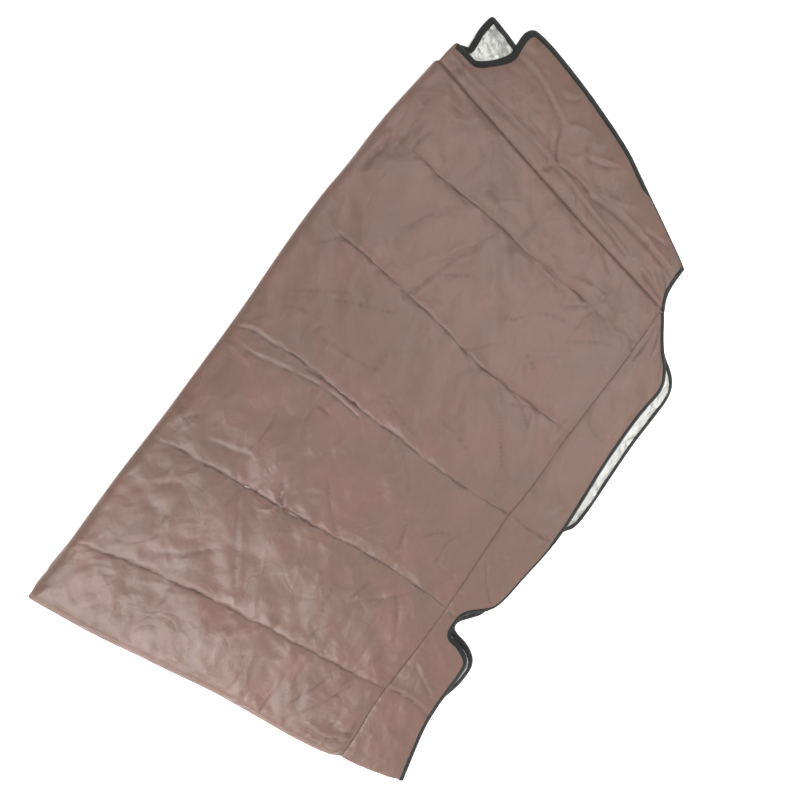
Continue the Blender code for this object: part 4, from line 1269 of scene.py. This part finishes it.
def makeStitches(look):
    seamLine = inset(edges["sideSeam"], look["seamIn"])
    headLine = inset(edges["headSeam"][::-1], look["seamIn"])
    footHem = inset(edges["footLine"], look["hemIn"])
    panelLines = [laidOn(upperPiece, seamLine[4:-3]), laidOn(upperPiece, headLine[4:-8]),
                  laidOn(upperPiece, footHem[4:-4])]
    panel = stitches("upper_panel_stitches", panelLines, "brownThread")
    side = stitches("side_flap_stitches", bothSides(sideTape, inset(edges["flapSide"], look["flapIn"])),
                    "blackThread")
    lowerLines = bothSides(lowerTape, inset(edges["bottomSide"], look["tapeIn"]))
    lowerLines += bothSides(lowerHeadTape, inset(edges["bottomHead"][::-1], look["tapeIn"]))
    lower = stitches("lower_layer_stitches", lowerLines, "blackThread")
    around = inset(np.vstack([edges["headSide"], edges["headTop"][::-1]]), look["tapeIn"])
    head = stitches("head_flap_stitches", bothSides(headTape, around), "blackThread")
    band = roundedLine([(0.024, 1.600), (0.195, 1.600), (0.45, 1.597), (0.875, 1.592)])
    bandPiece = stitches("neck_band_stitches", [laidOn(headPiece, band)], "brownThread")
    return panel, side, lower, head, bandPiece


panelStitches, sideStitches, lowerStitches, headStitches, bandStitches = makeStitches(stitching)
print("stitches laid")


# the parts that keep their own solids get their finishes

nodeFinishes = {
    "heating_mat": "heatingMat", "heating_wire": "wireSleeve", "thermal_cutoff": "sensorShell",
    "temperature_sensor": "sensorShell", "supply_lead": "leadSleeve", "sensor_lead": "leadSleeve",
    "return_lead": "leadSleeve", "controller_socket": "mouldedPlastic", "contact_block": "contactMetal",
}
for name, node in frame["nodes"].items():
    for ending, kind in nodeFinishes.items():
        if name.endswith(ending):
            node.data.materials.clear()
            node.data.materials.append(mats[kind])


# what moves with what

def acrossSide(piece):
    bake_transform(piece)


def acrossHead(piece):
    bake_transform(piece)


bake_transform(upperPiece)
for piece in (lowerPiece, lowerTape, lowerHeadTape, lowerStitches, slitPiece):
    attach(piece, "bottom_layer")
for piece in (sidePiece, sideTape, sideStitches, stripPieces["neck_hook"]):
    acrossSide(piece)
for piece in (headPiece, headTape, headStitches):
    acrossHead(piece)
for piece in (panelStitches, bandStitches, stripPieces["foot_hook"]):
    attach(piece, "top_layer")
for place in ("lower", "middle"):
    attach(stripPieces[f"{place}_hook"], "side_flap")
for place in ("lower", "middle", "neck", "foot"):
    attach(stripPieces[f"{place}_loop"], "bottom_layer")


# room, light and camera

studio = {
    "floor": 0.94, "glow": 0.565, "air": 0.27, "floorHalf": 6, "floorDrop": 0.0004,
    "key": dict(place=(-0.10, -2.3, 1.8), size=1.4, long=1.1, power=74),
    "top": dict(place=(0.35, 0.95, 1.9), size=0.9, long=0.5, power=6),
    "side": dict(place=(1.75, 0.9, 1.8), size=2.6, long=0.8, power=25),
    "fill": dict(place=(-0.9, 1.5, 2.2), size=1.4, long=1.4, power=20),
    "eye": (-0.585, -0.062, 1.323), "lens": 24.75,
    "right": (0.757, 0.588, 0.287), "back": (-0.331, -0.034, 0.943),
}


def makeFloor(look):
    half, level = look["floorHalf"], -look["floorDrop"]
    corners = [(-half, -half, level), (half, -half, level), (half, half, level), (-half, half, level)]
    floor = meshPiece("floor", corners, [(0, 1, 2, 3)], [])
    material = bpy.data.materials.new("palePaper")
    material.use_nodes = True
    shader = material.node_tree.nodes["Principled BSDF"]
    shader.inputs["Base Color"].default_value = (look["floor"],) * 3 + (1,)
    shader.inputs["Roughness"].default_value = 0.9
    shader.inputs["Specular IOR Level"].default_value = 0.1
    shader.inputs["Emission Color"].default_value = (1, 1, 1, 1)
    shader.inputs["Emission Strength"].default_value = look["glow"]
    floor.data.materials.append(material)


def makeLight(name, look):
    light = bpy.data.lights.new(name, "AREA")
    light.shape = "RECTANGLE"
    light.size, light.size_y = look["size"], look["long"]
    light.energy = look["power"]
    lamp = bpy.data.objects.new(name, light)
    lamp.location = look["place"]
    lamp.rotation_euler = (-Vector(look["place"])).to_track_quat("-Z", "Y").to_euler()
    bpy.context.scene.collection.objects.link(lamp)


def makeCamera(look):
    camera = bpy.data.cameras.new("camera")
    camera.sensor_width = 36
    camera.lens = look["lens"]
    camera.clip_start = 0.01
    eye = bpy.data.objects.new("camera", camera)
    back = Vector(look["back"]).normalized()
    right = Vector(look["right"])
    right = (right - back * right.dot(back)).normalized()
    turn = Matrix((right, back.cross(right), back)).transposed().to_4x4()
    eye.matrix_world = Matrix.Translation(look["eye"]) @ turn
    bpy.context.scene.collection.objects.link(eye)
    bpy.context.scene.camera = eye


makeFloor(studio)
for name in ("key", "top", "side", "fill"):
    makeLight(name, studio[name])
makeCamera(studio)
world = bpy.data.worlds.new("room")
world.use_nodes = True
world.node_tree.nodes["Background"].inputs[0].default_value = (1, 1, 1, 1)
world.node_tree.nodes["Background"].inputs[1].default_value = studio["air"]
bpy.context.scene.world = world
bpy.context.scene.view_settings.view_transform = "Standard"
print("studio ready")
